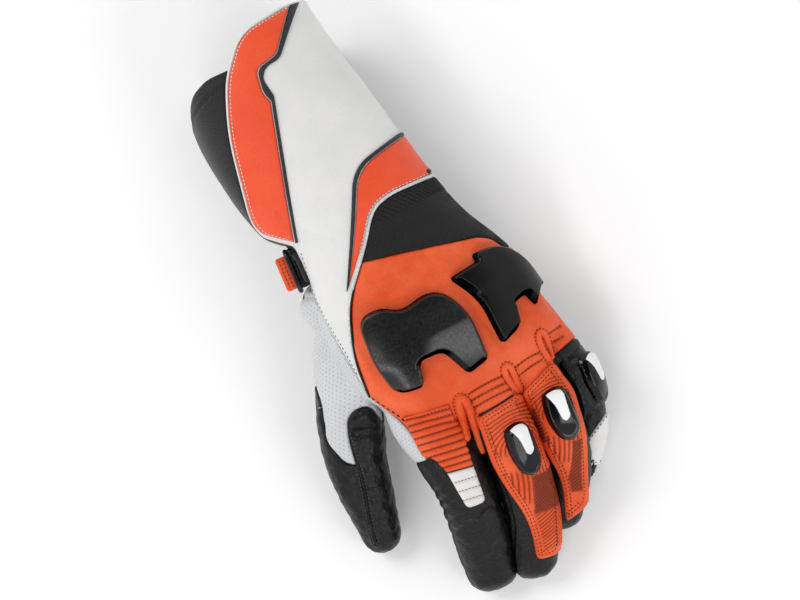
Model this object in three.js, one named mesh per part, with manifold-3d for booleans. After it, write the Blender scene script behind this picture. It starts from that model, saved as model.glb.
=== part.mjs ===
// A left-hand leather motorcycle glove with a long gauntlet, filled out as it is when worn and lying on
// its palm. Millimetres, +Z up. The fingers point along -Y, the gauntlet's mouth is at +Y, and the thumb
// is on the -X side. The leather is a hollow shell, open at the mouth. Panels are cut out of that shell
// along their seams, and the covers, guards and patches are layers that lie on it.
import * as THREE from "three";
import { mergeVertices } from "three/addons/utils/BufferGeometryUtils.js";
import Module from "manifold-3d";

const wasm = await Module();
wasm.setup();

const WALL = 2.2; // leather with its backing
const GAP = 0.4; // clear space between two neighbouring pieces
const COVER = 1.8; // leather laid on the shell
const ARM_SIDES = 20;
const FINGER_SIDES = 12;
const TIP_STEPS = 2;
const SQUARENESS = 2.35; // exponent of the oval sections, 2 is an ellipse
const HIGH = 130; // above everything, for the vertical cutters
const KNUCKLES = 72; // the height of the knuckles' skin, where a tapered guard has its drawn outline
const BEYOND = 30; // how far a cutter runs past what it cuts

// Sections across the gauntlet, the wrist and the hand. x and z are the section's middle, wide is half
// its width, up and down are its heights above and below the middle, and roll turns the little-finger
// side down, in degrees.
const ARM = [
  { y: 157, x: -22, z: 45, wide: 37, up: 38, down: 48.5, roll: 0 },
  { y: 138, x: -21.2, z: 45, wide: 39.7, up: 39, down: 48.5, roll: 0 },
  { y: 112, x: -19, z: 45.2, wide: 43.4, up: 38.8, down: 48.5, roll: 0 },
  { y: 85, x: -14.4, z: 47.2, wide: 45, up: 35.4, down: 43.8, roll: 1 },
  { y: 66, x: -10, z: 49, wide: 45, up: 32, down: 38, roll: 2 },
  { y: 54, x: -5.8, z: 50, wide: 44.3, up: 29.5, down: 33, roll: 3 },
  { y: 43, x: 1.2, z: 50.5, wide: 40.6, up: 27.5, down: 29, roll: 4 },
  { y: 30, x: 4.4, z: 50.5, wide: 42.3, up: 27, down: 28, roll: 6 },
  { y: 15, x: 8.2, z: 50.5, wide: 46.6, up: 27, down: 28, roll: 8 },
  { y: 0, x: 11.2, z: 50, wide: 51.7, up: 27.5, down: 28, roll: 10 },
  { y: -15, x: 12, z: 49, wide: 54, up: 27, down: 27.5, roll: 11 },
  { y: -30, x: 14, z: 48, wide: 53.5, up: 26, down: 25.5, roll: 11 },
  { y: -43, x: 18, z: 46.5, wide: 50.5, up: 23.5, down: 22, roll: 11 },
  { y: -53, x: 18, z: 45.5, wide: 41, up: 20, down: 19, roll: 10 },
  { y: -65, x: 11, z: 46, wide: 27, up: 12.5, down: 12.5, roll: 6 },
];

// Sections of the fingers and the thumb, square to their middle lines, from inside the hand to where the
// rounded tip begins. wide and high are half sizes, and turn leans the back of the finger towards +X, in
// degrees. from is the row where the finger's own leather starts (the thumb's is cut from the hand's),
// tip is how far the rounded end reaches, and beside names the finger that it is pressed against.
const FINGERS = {
  index: {
    from: 2, tip: 10.4,
    rows: [
      { x: -12, y: -36, z: 47, wide: 15, high: 13, turn: 0 },
      { x: -13, y: -56, z: 47.5, wide: 16.5, high: 13.4, turn: 0 },
      { x: -9.4, y: -75, z: 46, wide: 15.8, high: 13.2, turn: 0 },
      { x: -6.9, y: -94, z: 41, wide: 14.9, high: 13, turn: 0 },
      { x: -7.3, y: -112, z: 32, wide: 14.3, high: 12.6, turn: 0 },
      { x: -8.8, y: -129, z: 20.6, wide: 14, high: 12.2, turn: 0 },
      { x: -10.6, y: -144, z: 11.4, wide: 12.8, high: 11.6, turn: 0 },
    ],
  },
  middle: {
    from: 2, tip: 12, beside: "index",
    rows: [
      { x: 20, y: -36, z: 48, wide: 13, high: 13.5, turn: 8 },
      { x: 21.5, y: -56, z: 48.8, wide: 13.2, high: 13.6, turn: 12 },
      { x: 22, y: -73, z: 47.3, wide: 13.2, high: 13.6, turn: 16 },
      { x: 21.6, y: -93, z: 42.2, wide: 13.2, high: 13.6, turn: 20 },
      { x: 20, y: -112, z: 32.5, wide: 13.2, high: 13.2, turn: 22 },
      { x: 16.8, y: -130, z: 20.8, wide: 13, high: 12.8, turn: 20 },
      { x: 11.4, y: -145.6, z: 11.6, wide: 12, high: 11.8, turn: 16 },
    ],
  },
  ring: {
    from: 2, tip: 13.4, beside: "middle",
    rows: [
      { x: 44, y: -32, z: 41, wide: 12, high: 12.5, turn: 14 },
      { x: 46.8, y: -51, z: 42.5, wide: 12, high: 12.7, turn: 12 },
      { x: 48.9, y: -67, z: 41.2, wide: 11.9, high: 12.7, turn: 10 },
      { x: 49.8, y: -84, z: 37, wide: 11.8, high: 12.6, turn: 6 },
      { x: 48, y: -100, z: 29.2, wide: 11.8, high: 12.4, turn: 4 },
      { x: 42.8, y: -115, z: 19.6, wide: 11.7, high: 12, turn: 4 },
      { x: 35.4, y: -127.5, z: 11.2, wide: 10.8, high: 11.4, turn: 4 },
    ],
  },
  little: {
    from: 2, tip: 10, beside: "ring",
    rows: [
      { x: 56.5, y: -28, z: 34, wide: 10, high: 11.4, turn: 30 },
      { x: 60, y: -43, z: 35, wide: 10, high: 11.4, turn: 38 },
      { x: 64.2, y: -58, z: 33.6, wide: 10, high: 11.2, turn: 46 },
      { x: 66, y: -74, z: 29.4, wide: 10, high: 11, turn: 52 },
      { x: 63.6, y: -88, z: 23, wide: 9.8, high: 10.8, turn: 52 },
      { x: 58, y: -100.5, z: 15.8, wide: 9.6, high: 10.6, turn: 46 },
      { x: 51.2, y: -109.5, z: 10.2, wide: 9.4, high: 10.4, turn: 40 },
    ],
  },
  thumb: {
    tip: 11.4,
    rows: [
      { x: -24, y: 18.5, z: 43, wide: 14, high: 12, turn: -20 },
      { x: -28, y: 11, z: 41, wide: 19.4, high: 15, turn: -20 },
      { x: -31, y: 2, z: 38.5, wide: 14, high: 15, turn: -20 },
      { x: -35.2, y: -12, z: 35.5, wide: 15.6, high: 16, turn: -20 },
      { x: -41.3, y: -30, z: 31.5, wide: 16.2, high: 16, turn: -18 },
      { x: -47.8, y: -50, z: 26.5, wide: 16.8, high: 15.6, turn: -14 },
      { x: -52.3, y: -68, z: 21, wide: 15.4, high: 14.6, turn: -10 },
      { x: -53.8, y: -86, z: 16, wide: 13.2, high: 13.4, turn: -6 },
      { x: -54.8, y: -104, z: 11.2, wide: 10.4, high: 11.4, turn: -4 },
    ],
  },
};

const LEATHER = { roughness: 0.55, metalness: 0 };
const MATERIALS = {
  orange: new THREE.MeshStandardMaterial({ color: 0xe8572a, ...LEATHER }),
  white: new THREE.MeshStandardMaterial({ color: 0xe6e6e6, ...LEATHER }),
  black: new THREE.MeshStandardMaterial({ color: 0x1b1b1b, ...LEATHER }),
  piping: new THREE.MeshStandardMaterial({ color: 0x35363a, ...LEATHER }),
  knit: new THREE.MeshStandardMaterial({ color: 0x262624, roughness: 0.95, metalness: 0 }),
  textile: new THREE.MeshStandardMaterial({ color: 0x202122, roughness: 0.9, metalness: 0 }),
  guard: new THREE.MeshStandardMaterial({ color: 0x1c1d1f, roughness: 0.25, metalness: 0 }),
  inlay: new THREE.MeshStandardMaterial({ color: 0xe9ecec, roughness: 0.35, metalness: 0 }),
};

// A closed solid from rings of equally many points, with a flat fan over each end.
function loft(rings) {
  const sides = rings[0].length;
  const middle = (ring) => ring.reduce((sum, p) => sum.add(p), new THREE.Vector3()).divideScalar(sides);
  const points = [...rings.flat(), middle(rings[0]), middle(rings.at(-1))];
  const faces = [];
  for (let k = 0; k < sides; k += 1) {
    const next = (k + 1) % sides;
    for (let r = 0; r + 1 < rings.length; r += 1) {
      const a = r * sides + k;
      const b = r * sides + next;
      faces.push(a, b, b + sides, a, b + sides, a + sides);
    }
    const last = (rings.length - 1) * sides;
    faces.push(points.length - 2, next, k, points.length - 1, last + k, last + next);
  }
  const geometry = new THREE.BufferGeometry().setFromPoints(points);
  geometry.setIndex(faces);
  return solid(geometry);
}

// A closed three.js geometry as a solid that can be cut and joined.
function solid(geometry) {
  const bare = geometry.clone();
  bare.deleteAttribute("normal");
  bare.deleteAttribute("uv");
  const merged = mergeVertices(bare, 1e-4);
  return new wasm.Manifold(
    new wasm.Mesh({
      numProp: 3,
      vertProperties: merged.attributes.position.array,
      triVerts: new Uint32Array(merged.index.array),
    }),
  );
}

const join = (...solids) => solids.reduce((all, one) => all.add(one));

// Offsets across and up of a rounded oval at one of its sides.
function onOval(wide, up, down, turn) {
  const flat = (value) => Math.sign(value) * Math.abs(value) ** (2 / SQUARENESS);
  const rise = Math.sin(turn);
  return [wide * flat(Math.cos(turn)), (rise > 0 ? up : down) * flat(rise)];
}

// The leather is flattened where it rests on the floor, and keeps its thickness there.
const onFloor = (point, grow) => point.setZ(Math.max(point.z, -grow));

function armRing(row, grow) {
  const roll = THREE.MathUtils.degToRad(row.roll);
  return Array.from({ length: ARM_SIDES }, (_, k) => {
    const turn = (2 * Math.PI * k) / ARM_SIDES;
    const [across, rise] = onOval(row.wide + grow, row.up + grow, row.down + grow, turn);
    const x = row.x + across * Math.cos(roll) + rise * Math.sin(roll);
    const z = row.z - across * Math.sin(roll) + rise * Math.cos(roll);
    return onFloor(new THREE.Vector3(x, row.y, z), grow);
  });
}

// The hand and gauntlet as one solid, grown or shrunk by some millimetres. When open, it runs on past the
// mouth.
function arm(grow, open = false) {
  const rings = ARM.map((row) => armRing(row, grow));
  if (open) rings.unshift(armRing({ ...ARM[0], y: ARM[0].y + BEYOND }, grow));
  const end = new THREE.Vector3(0, -grow, 0);
  rings.at(-1).forEach((point) => point.add(end));
  return loft(rings);
}

// The rings of a finger's rows, with its rounded tip after the last one.
function fingerRings({ rows, tip }, grow) {
  const line = rows.map((row) => new THREE.Vector3(row.x, row.y, row.z));
  const along = (i) =>
    line[Math.min(i + 1, line.length - 1)].clone().sub(line[Math.max(i - 1, 0)]).normalize();
  const ring = (row, middle, ahead, scale) => {
    const turn = THREE.MathUtils.degToRad(row.turn);
    const lean = new THREE.Vector3(Math.sin(turn), 0, Math.cos(turn));
    const across = ahead.clone().cross(lean).negate().normalize();
    const back = across.clone().cross(ahead).negate();
    return Array.from({ length: FINGER_SIDES }, (_, k) => {
      const high = (row.high + grow) * scale;
      const [u, v] = onOval((row.wide + grow) * scale, high, high, (2 * Math.PI * k) / FINGER_SIDES);
      return onFloor(middle.clone().addScaledVector(across, u).addScaledVector(back, v), grow);
    });
  };
  const rings = rows.map((row, i) => ring(row, line[i], along(i), 1));
  const last = rows.length - 1;
  for (let k = 1; k <= TIP_STEPS; k += 1) {
    const share = (k / (TIP_STEPS + 0.4)) * (Math.PI / 2);
    const middle = line[last].clone().addScaledVector(along(last), (tip + grow) * Math.sin(share));
    rings.push(ring(rows[last], middle, along(last), Math.cos(share)));
  }
  return rings;
}

// Moves a flat end ring along the finger, to leave a gap or to cut clean through.
function shiftEnd(rings, end, distance) {
  const [ring, beside] = end === "first" ? [rings[0], rings[1]] : [rings.at(-1), rings.at(-2)];
  const step = new THREE.Vector3();
  ring.forEach((point, k) => step.add(beside[k]).sub(point));
  step.setLength(distance);
  ring.forEach((point) => point.add(step));
}

// The part of a finger that belongs to the hand, up to the row where the finger's own leather starts.
function root(finger, grow) {
  const rings = fingerRings(finger, grow);
  if (!finger.from) return loft(rings);
  rings.length = finger.from + 1;
  if (grow < 0) shiftEnd(rings, "last", -1);
  return loft(rings);
}

// A finger's own hollow leather, closed at the tip, open towards the hand and dented by the finger beside
// it.
function stall(finger) {
  const outer = fingerRings(finger, 0).slice(finger.from);
  const inner = fingerRings(finger, -WALL).slice(finger.from);
  shiftEnd(outer, "first", GAP);
  shiftEnd(inner, "first", -1);
  if (!finger.beside) return loft(outer).subtract(loft(inner));
  const pressed = loft(outer).subtract(form([finger.beside], GAP));
  return pressed.subtract(loft(inner).subtract(form([finger.beside], GAP + WALL)));
}

// A flat outline, its corners rounded by the radius that each row may give.
function outline(corners) {
  const shape = new THREE.Shape();
  const at = (i) => new THREE.Vector2(...corners[(i + corners.length) % corners.length]);
  corners.forEach(([, , round = 0], i) => {
    const towards = (j) => {
      const step = at(j).sub(at(i));
      return at(i).add(step.setLength(Math.min(round, step.length() * 0.48)));
    };
    const [entry, exit] = [towards(i - 1), towards(i + 1)];
    if (i === 0) shape.moveTo(entry.x, entry.y);
    else shape.lineTo(entry.x, entry.y);
    if (round > 0) shape.quadraticCurveTo(at(i).x, at(i).y, exit.x, exit.y);
  });
  shape.closePath();
  return shape;
}

// The outline moved out by a distance, each point along the mean of the two edges that meet in it.
function widened(points, distance) {
  const sign = THREE.ShapeUtils.isClockWise(points) ? -1 : 1;
  const edge = (i) => {
    const [from, to] = [points[(i + points.length) % points.length], points[(i + 1) % points.length]];
    return new THREE.Vector2(to.y - from.y, from.x - to.x).normalize();
  };
  return points.map((point, i) => {
    const [before, after] = [edge(i - 1), edge(i)];
    const step = before.clone().add(after).normalize();
    return point.clone().addScaledVector(step, (sign * distance) / Math.max(step.dot(after), 0.5));
  });
}

// A vertical cutter over an outline, from a seam plane up to clear air. The plane may slope along X and
// fall along Y. The walls may lean in as they rise, by the share taper of the outline for each millimetre
// above the knuckles, and the cutter may be wider and reach lower than its outline and seam by a gap.
function cutter(corners, { z, slope = 0, fall = 0 }, { taper = 0, gap = 0 } = {}) {
  const points = outline(corners).getPoints(2);
  const shape = new THREE.Shape(gap > 0 ? widened(points, gap) : points);
  const geometry = new THREE.ExtrudeGeometry(shape, { depth: HIGH, bevelEnabled: false });
  const centre = new THREE.Box2().setFromPoints(points).getCenter(new THREE.Vector2());
  const position = geometry.attributes.position;
  for (let i = 0; i < position.count; i += 1) {
    const [x, y] = [position.getX(i), position.getY(i)];
    const level = position.getZ(i) < HIGH / 2 ? z - gap + slope * x + fall * y : HIGH;
    const share = 1 - taper * (level - KNUCKLES);
    position.setXYZ(i, centre.x + (x - centre.x) * share, centre.y + (y - centre.y) * share, level);
  }
  return solid(geometry);
}

// The outer form of the named parts, grown by some millimetres.
function form(names, grow) {
  return join(...names.map((name) => (name === "arm" ? arm(grow) : loft(fingerRings(FINGERS[name], grow)))));
}

function box(x0, x1, y0, y1, z0, z1) {
  const geometry = new THREE.BoxGeometry(x1 - x0, y1 - y0, z1 - z0);
  return solid(geometry.translate((x0 + x1) / 2, (y0 + y1) / 2, (z0 + z1) / 2));
}

// Where the upper panels end on the side of the glove.
const SEAMS = {
  gauntlet: { z: 46 },
  hand: { z: 45, slope: -0.2 },
  gusset: { z: 58, slope: 0.54, fall: 0.2 },
  thumb: { z: -5 },
  guard: { z: 58 },
  little_guard: { z: 45 },
  stretch: { z: 46 },
  index_loop: { z: 71.3, fall: 0.24 },
  middle_loop: { z: 52 },
  ring_loop: { z: 47 },
  middle: { z: 77.3, fall: 0.447 },
  ring: { z: 71.8, fall: 0.459 },
  little: { z: 60, fall: 0.45 },
};

// Panels of the shell, in the order in which they are cut out of it. A corner is its x, its y and the
// radius that rounds it. Corners past the glove's edge only carry the panel round its side.
const PANELS = {
  thumb_stall: {
    colour: "black", seam: SEAMS.thumb,
    corners: [
      [-80, -21], [-56, -21, 3], [-57.5, -36, 8], [-62.5, -51, 5], [-58, -64.5, 3], [-52.8, -68.3, 1],
      [-51, -54, 6], [-47, -42.5, 6], [-34, -42, 6], [-31.5, -54, 3], [-31.5, -130], [-80, -130],
    ],
  },
  gauntlet_back: {
    colour: "white", seam: SEAMS.gauntlet,
    corners: [
      [60, 160], [0, 158, 12], [-22, 152, 10], [-37, 133, 8], [-46.5, 108, 14], [-53.5, 64, 8],
      [-50.5, 55, 3], [-38, 45, 4], [-39.5, 12, 20], [-33, -39, 1], [-32.5, -18, 12], [-24, 8, 10],
      [-4, 32, 10], [5, 46, 9], [16, 49.5, 5], [60, 50.5],
    ],
  },
  wrist_knit: {
    colour: "knit", seam: SEAMS.hand,
    corners: [[-12, 25], [5, 56], [70, 56], [70, 3], [59, 3.5], [51, 13.5, 6], [20, 19.5, 20]],
  },
  hand_back: {
    colour: "orange", seam: SEAMS.hand,
    corners: [
      [-15, 30], [95, 30], [95, -50], [72, -52], [59, -56], [59, -95], [-20, -95], [-19, -77], [-21, -60, 8],
      [-32.6, -39.6], [-34, -10], [-30, 20],
    ],
  },
  thumb_gusset: {
    colour: "white", seam: SEAMS.gusset,
    corners: [[-10, 26], [-70, 26], [-70, -75], [-10, -90]],
  },
};

// Layers that lie on the glove: on names the parts that carry one, low and high are its undersides and
// tops above them, and clear names a finger that it keeps clear of.
const LAYERS = {
  gauntlet_thumb_panel: {
    colour: "orange", on: ["arm"], low: GAP, high: 1.6, seam: SEAMS.gauntlet,
    corners: [
      [6, 155.5], [-21, 150.5, 8], [-36, 132, 8], [-45.2, 108, 12], [-52.2, 64, 6], [-49.5, 56.5, 3],
      [-37, 47],
      [-31.5, 70], [-20.5, 114.5], [-22.5, 120, 3], [-21, 132, 4], [-9, 135, 3],
    ],
  },
  gauntlet_thumb_band: {
    colour: "piping", on: ["arm"], low: GAP, high: 1.8, seam: SEAMS.gauntlet,
    corners: [
      [6.8, 155.6], [11.5, 155.6], [-8, 132.3, 3], [-16.5, 131, 4], [-19.6, 126, 2], [-17.7, 116.6, 1],
      [-28.4, 74], [-35.2, 46], [-36.4, 46.5], [-31.1, 70], [-20, 114.5], [-22, 120, 3], [-20.5, 131.6, 4],
      [-8.6, 134.6, 3],
    ],
  },
  gauntlet_wrist_panel: {
    colour: "orange", on: ["arm"], low: GAP, high: 1.6, seam: SEAMS.gauntlet,
    corners: [
      [55, 75], [32, 74], [6, 67, 10], [-6, 42, 12], [-19.6, 17], [-6, 33], [4, 48, 9], [16, 51.2, 5],
      [55, 52.2],
    ],
  },
  gauntlet_wrist_band: {
    colour: "piping", on: ["arm"], low: GAP, high: 1.8, seam: SEAMS.gauntlet,
    corners: [
      [55, 78], [32, 76.5], [4, 68.8, 10], [-8, 43, 12], [-22.6, 14], [-20.1, 16.6], [-6.4, 42, 12],
      [5.6, 67.4, 10], [32, 74.4], [55, 75.4],
    ],
  },
  knuckle_guard_index: {
    colour: "guard", on: ["arm"], low: GAP, high: 7, seam: SEAMS.guard, taper: 0.016,
    corners: [
      [-23.6, -0.8, 9], [-11, 0.8, 6], [-2, -5, 5], [18, -0.5, 10], [29, -17, 10], [29.2, -43.5, 3],
      [17, -46.8, 3], [9.5, -31.5, 4], [-2.8, -31.5, 3], [-5.8, -44, 3], [-20, -42.6, 8], [-24.2, -24, 6],
    ],
  },
  knuckle_guard_little: {
    colour: "guard", on: ["arm"], low: GAP, high: 7, seam: SEAMS.little_guard, clear: ["little"],
    corners: [
      [26, 0.3, 3], [41.3, 2.6, 1], [41, 7, 2], [53.5, 6.8, 8], [62.5, -3, 8], [66.6, -21.5, 3], [61, -29, 2],
      [57.8, -21.5, 2], [51, -23.5, 2], [49.3, -35.2, 3], [38, -40, 3], [35.8, -15, 8],
    ],
  },
  middle_cover: {
    colour: "orange", on: ["middle"], low: GAP, high: GAP + COVER, seam: SEAMS.middle,
    clear: ["index", "ring"],
    corners: [
      [12.8, -69, 3], [36, -65.5, 3], [37.2, -90, 8], [35.5, -118, 8], [25, -149, 6], [12.5, -147.5, 3],
      [16.5, -127, 10], [11, -97, 10],
    ],
  },
  ring_cover: {
    colour: "orange", on: ["ring"], low: GAP, high: GAP + COVER, seam: SEAMS.ring,
    corners: [
      [39, -66, 2], [57.5, -58, 3], [61.4, -75, 6], [59, -98, 8], [47, -131.5, 6], [33.5, -136, 3],
      [39.8, -115, 8], [38, -88, 8],
    ],
  },
  index_stretch: {
    colour: "orange", on: ["arm", "index"], low: GAP, high: GAP + COVER, seam: SEAMS.stretch,
    corners: [
      [-21.5, -54], [2.2, -56.5], [2.4, -76], [1.2, -89.8], [-12, -88], [-15.5, -78.5, 3], [-20, -76, 1],
    ],
  },
  index_stretch_tip: {
    colour: "white", on: ["index"], low: GAP, high: GAP + COVER, seam: SEAMS.stretch,
    corners: [[-12, -88.6], [1.2, -90.4], [0.2, -109, 3], [-9.6, -109, 3]],
  },
  little_patch: {
    colour: "white", on: ["little"], low: GAP, high: GAP + 1.2, seam: SEAMS.little, clear: ["ring"],
    corners: [[59, -101.5, 1], [80, -89], [80, -110], [61, -116.5, 2], [54, -113.5, 1]],
  },
  stretch_loop_index: {
    colour: "orange", on: ["arm", "index", "middle"], low: GAP, high: 3.6, seam: SEAMS.index_loop,
    corners: [[3.8, -55, 3.5], [11.8, -55, 3.5], [10.4, -88, 3], [4.6, -88, 3]],
  },
  stretch_loop_middle: {
    colour: "orange", on: ["arm", "middle", "ring"], low: GAP, high: 3.6, seam: SEAMS.middle_loop,
    corners: [[32, -49, 3], [38.6, -49, 3], [38.4, -64.5, 2], [36.6, -64.5, 1]],
  },
  stretch_loop_ring: {
    colour: "orange", on: ["arm", "ring", "little"], low: GAP, high: 3.6, seam: SEAMS.ring_loop,
    corners: [[54.5, -40.5, 2.5], [60.5, -40.5, 2.5], [60, -56, 2], [56, -56, 2]],
  },
};

function layer({ on, low, high, corners, seam, clear = [], taper }) {
  const made = form(on, high).subtract(form(on, low)).intersect(cutter(corners, seam, { taper }));
  return clear.length > 0 ? made.subtract(form(clear, GAP)) : made;
}

// A finger slider and its white inlay, seen square to the finger's back: x across, y along, towards the
// knuckle.
const SLIDER = [[-6.4, 12, 6], [0.5, 14.5, 7], [6.4, 12, 6], [6.2, -10, 6], [0, -14, 7], [-6.4, -8, 5]];
const INLAY = [[-2.6, 12, 2], [3.2, 12.4, 3], [5, 8, 2], [4.9, -2, 2], [1.2, -2, 2], [0, 6, 2]];
const INLAY_THICK = 0.8;
// at and along place one on its finger's rows. low and high are its underside and top above the finger.
const SLIDERS = {
  middle: { at: 3, along: 5.7, low: GAP + COVER + GAP, high: 7 },
  ring: { at: 3, along: 4.6, low: GAP + COVER + GAP, high: 7 },
  little: { at: 3, along: 1.5, low: GAP, high: 3.4 },
};

// The frame of a finger's back at one of its rows: across, along towards the hand, and out of the back.
function backFrame({ rows }, at, along) {
  const line = rows.map((row) => new THREE.Vector3(row.x, row.y, row.z));
  const towards = line[at - 1].clone().sub(line[at + 1]).normalize();
  const turn = THREE.MathUtils.degToRad(rows[at].turn);
  const across = towards.clone().cross(new THREE.Vector3(Math.sin(turn), 0, Math.cos(turn))).normalize();
  const out = across.clone().cross(towards);
  const place = line[at].clone().addScaledVector(towards, along);
  return new THREE.Matrix4().makeBasis(across, towards, out).setPosition(place);
}

function onBack(name, corners, low, high) {
  const { at, along } = SLIDERS[name];
  const settings = { depth: HIGH, bevelEnabled: false, curveSegments: 2 };
  const tool = new THREE.ExtrudeGeometry(outline(corners), settings);
  tool.applyMatrix4(backFrame(FINGERS[name], at, along));
  return form([name], high).subtract(form([name], low)).intersect(solid(tool));
}

// The wrist strap runs under the wrist. Its end is folded up beside a flat clip at the thumb side, and
// its tab goes through that clip.
const STRAP = { from: 26, to: 42.5, high: 3, top: 56, end: 20 };
const STRAP_END = { x0: -42.2, x1: -36, y0: 24.6, y1: 44, z0: 45.4, z1: 52.6 };
const CLIP = { x0: -44.6, x1: -42.6, y0: 22.4, y1: 45.8, z0: 43, z1: 55, bar: 2.6 };
const TAB = { x0: -50, x1: -42.4, z0: 47, z1: 51 };

function wristStrap() {
  const { x0, x1, y0, y1, z0, z1 } = STRAP_END;
  const band = form(["arm"], STRAP.high).intersect(box(-60, STRAP.end, STRAP.from, STRAP.to, -5, STRAP.top));
  return band.add(box(x0, x1, y0, y1, z0, z1)).subtract(form(["arm", "thumb"], GAP));
}

function strapClip() {
  const { x0, x1, y0, y1, z0, z1, bar } = CLIP;
  const frame = box(x0, x1, y0, y1, z0, z1);
  return frame.subtract(box(x0 - 1, x1 + 1, y0 + bar, y1 - bar, TAB.z0 - GAP, TAB.z1 + GAP));
}

function strapTab() {
  const { y0, y1, bar } = CLIP;
  return box(TAB.x0, TAB.x1, y0 + bar + GAP, y1 - bar - GAP, TAB.z0, TAB.z1);
}

const glove = new THREE.Group();

function place(name, made, colour) {
  const { numProp, vertProperties, triVerts, numVert } = made.getMesh();
  const points = new Float32Array(numVert * 3);
  for (let i = 0; i < numVert; i += 1) {
    points.set(vertProperties.subarray(i * numProp, i * numProp + 3), i * 3);
  }
  const geometry = new THREE.BufferGeometry().setAttribute("position", new THREE.BufferAttribute(points, 3));
  geometry.setIndex(new THREE.BufferAttribute(triVerts, 1));
  const mesh = new THREE.Mesh(geometry, MATERIALS[colour]);
  mesh.name = name;
  glove.add(mesh);
}

// The shell of the hand and the thumb, cut into its panels. What the upper panels leave is the palm side.
const WRIST_SEAM = 47;
const FLAP = [[60, 30], [60, 137], [-46, 137, 4], [-58, 132, 8], [-63, 116, 10], [-80, 90], [-80, 30]];
const inHand = Object.values(FINGERS);
const hand = join(arm(0), ...inHand.map((finger) => root(finger, 0)));
const hollow = join(arm(-WALL, true), ...inHand.map((finger) => root(finger, -WALL)));
let shell = hand.subtract(hollow);
for (const [name, { colour, seam, corners }] of Object.entries(PANELS)) {
  place(name, shell.intersect(cutter(corners, seam)), colour);
  shell = shell.subtract(cutter(corners, seam, { gap: GAP }));
}
const gauntletSide = box(-BEYOND * 3, BEYOND * 3, WRIST_SEAM, WRIST_SEAM + HIGH, -BEYOND, HIGH);
const handSide = box(-BEYOND * 3, BEYOND * 3, WRIST_SEAM - GAP - HIGH, WRIST_SEAM - GAP, -BEYOND, HIGH);
place("gauntlet_palm", shell.intersect(gauntletSide).intersect(cutter(FLAP, { z: -BEYOND })), "textile");
place("palm", shell.intersect(handSide), "black");

for (const name of ["index", "middle", "ring", "little"]) {
  place(`${name}_stall`, stall(FINGERS[name]), "black");
}
for (const [name, row] of Object.entries(LAYERS)) place(name, layer(row), row.colour);
for (const [name, { low, high }] of Object.entries(SLIDERS)) {
  place(`${name}_slider`, onBack(name, SLIDER, low, high), "guard");
  place(`${name}_slider_inlay`, onBack(name, INLAY, high + GAP, high + GAP + INLAY_THICK), "inlay");
}
place("wrist_strap", wristStrap(), "textile");
place("strap_clip", strapClip(), "guard");
place("strap_tab", strapTab(), "orange");

// The origin is on the floor, under the middle of the glove's box.
const extent = new THREE.Box3().setFromObject(glove);
const middle = extent.getCenter(new THREE.Vector3());
glove.position.set(-middle.x, -middle.y, -extent.min.z);

export default glove;
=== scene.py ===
# A left-hand leather motorcycle glove with a long gauntlet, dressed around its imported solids.
# Lengths in the tables are millimetres in the hand's own frame: fingers along -Y, the gauntlet's mouth at
# +Y, the thumb at -X, +Z up and the floor at 0. A piece is moved into the row's frame, in metres, when it is
# made.
import math

import bmesh
import bpy
import numpy as np
from mathutils import Matrix, Vector, kdtree, noise
from mathutils.bvhtree import BVHTree


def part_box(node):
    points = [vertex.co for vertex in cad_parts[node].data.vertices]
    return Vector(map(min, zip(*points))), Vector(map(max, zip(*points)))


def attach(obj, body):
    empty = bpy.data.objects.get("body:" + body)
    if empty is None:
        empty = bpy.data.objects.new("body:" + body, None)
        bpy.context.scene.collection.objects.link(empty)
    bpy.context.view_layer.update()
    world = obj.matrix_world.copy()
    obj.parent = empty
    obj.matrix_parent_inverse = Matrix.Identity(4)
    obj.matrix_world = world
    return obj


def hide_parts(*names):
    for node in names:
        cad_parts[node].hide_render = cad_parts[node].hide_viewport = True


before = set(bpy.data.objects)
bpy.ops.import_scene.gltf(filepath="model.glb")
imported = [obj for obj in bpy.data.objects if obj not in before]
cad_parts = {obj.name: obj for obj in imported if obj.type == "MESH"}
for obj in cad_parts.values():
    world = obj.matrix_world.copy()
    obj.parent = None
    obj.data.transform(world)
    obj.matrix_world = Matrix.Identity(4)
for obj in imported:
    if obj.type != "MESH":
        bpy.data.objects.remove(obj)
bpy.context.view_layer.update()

MM = 0.001
# The strap tab's low corner in the hand's frame, which gives the place of that frame in the row's.
TAB_CORNER = (-50.0, 25.4)
SHIFT = np.array([*(np.array(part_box("strap_tab")[0])[:2] / MM - TAB_CORNER), 0.0])

WALL = 2.0  # leather with its backing
VOXEL = 1.0  # size of the form's faces
UNSEEN_SHARE = 0.12  # how many of the faces on a piece's unseen lower side are kept
HIGH = 130.0  # above everything, for the vertical cutters and the rays that lay lines on a surface
SQUARENESS = 2.35  # exponent of the oval sections, 2 is an ellipse
ARM_SIDES = 160
FINGER_SIDES = 96
ARM_STEP = 2.0  # between the arm's rings
FINGER_STEP = 0.9
TIP_RINGS = 14
POLE_SIZE = 0.02  # size of a tip's last ring, as a share of the finger's
BEYOND = 14.0  # how far the form runs past the mouth, before it is cut
SEAM_GAP = 0.25  # between two panels of the shell
WELD = 0.12  # points of a cut skin that are closer than this are joined
TINY = 1e-9  # keeps a length of 0 from dividing
FINE = 0.5  # step of the plan lines' points
DOWN = Vector((0, 0, -1))
UP = Vector((0, 0, 1))

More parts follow.
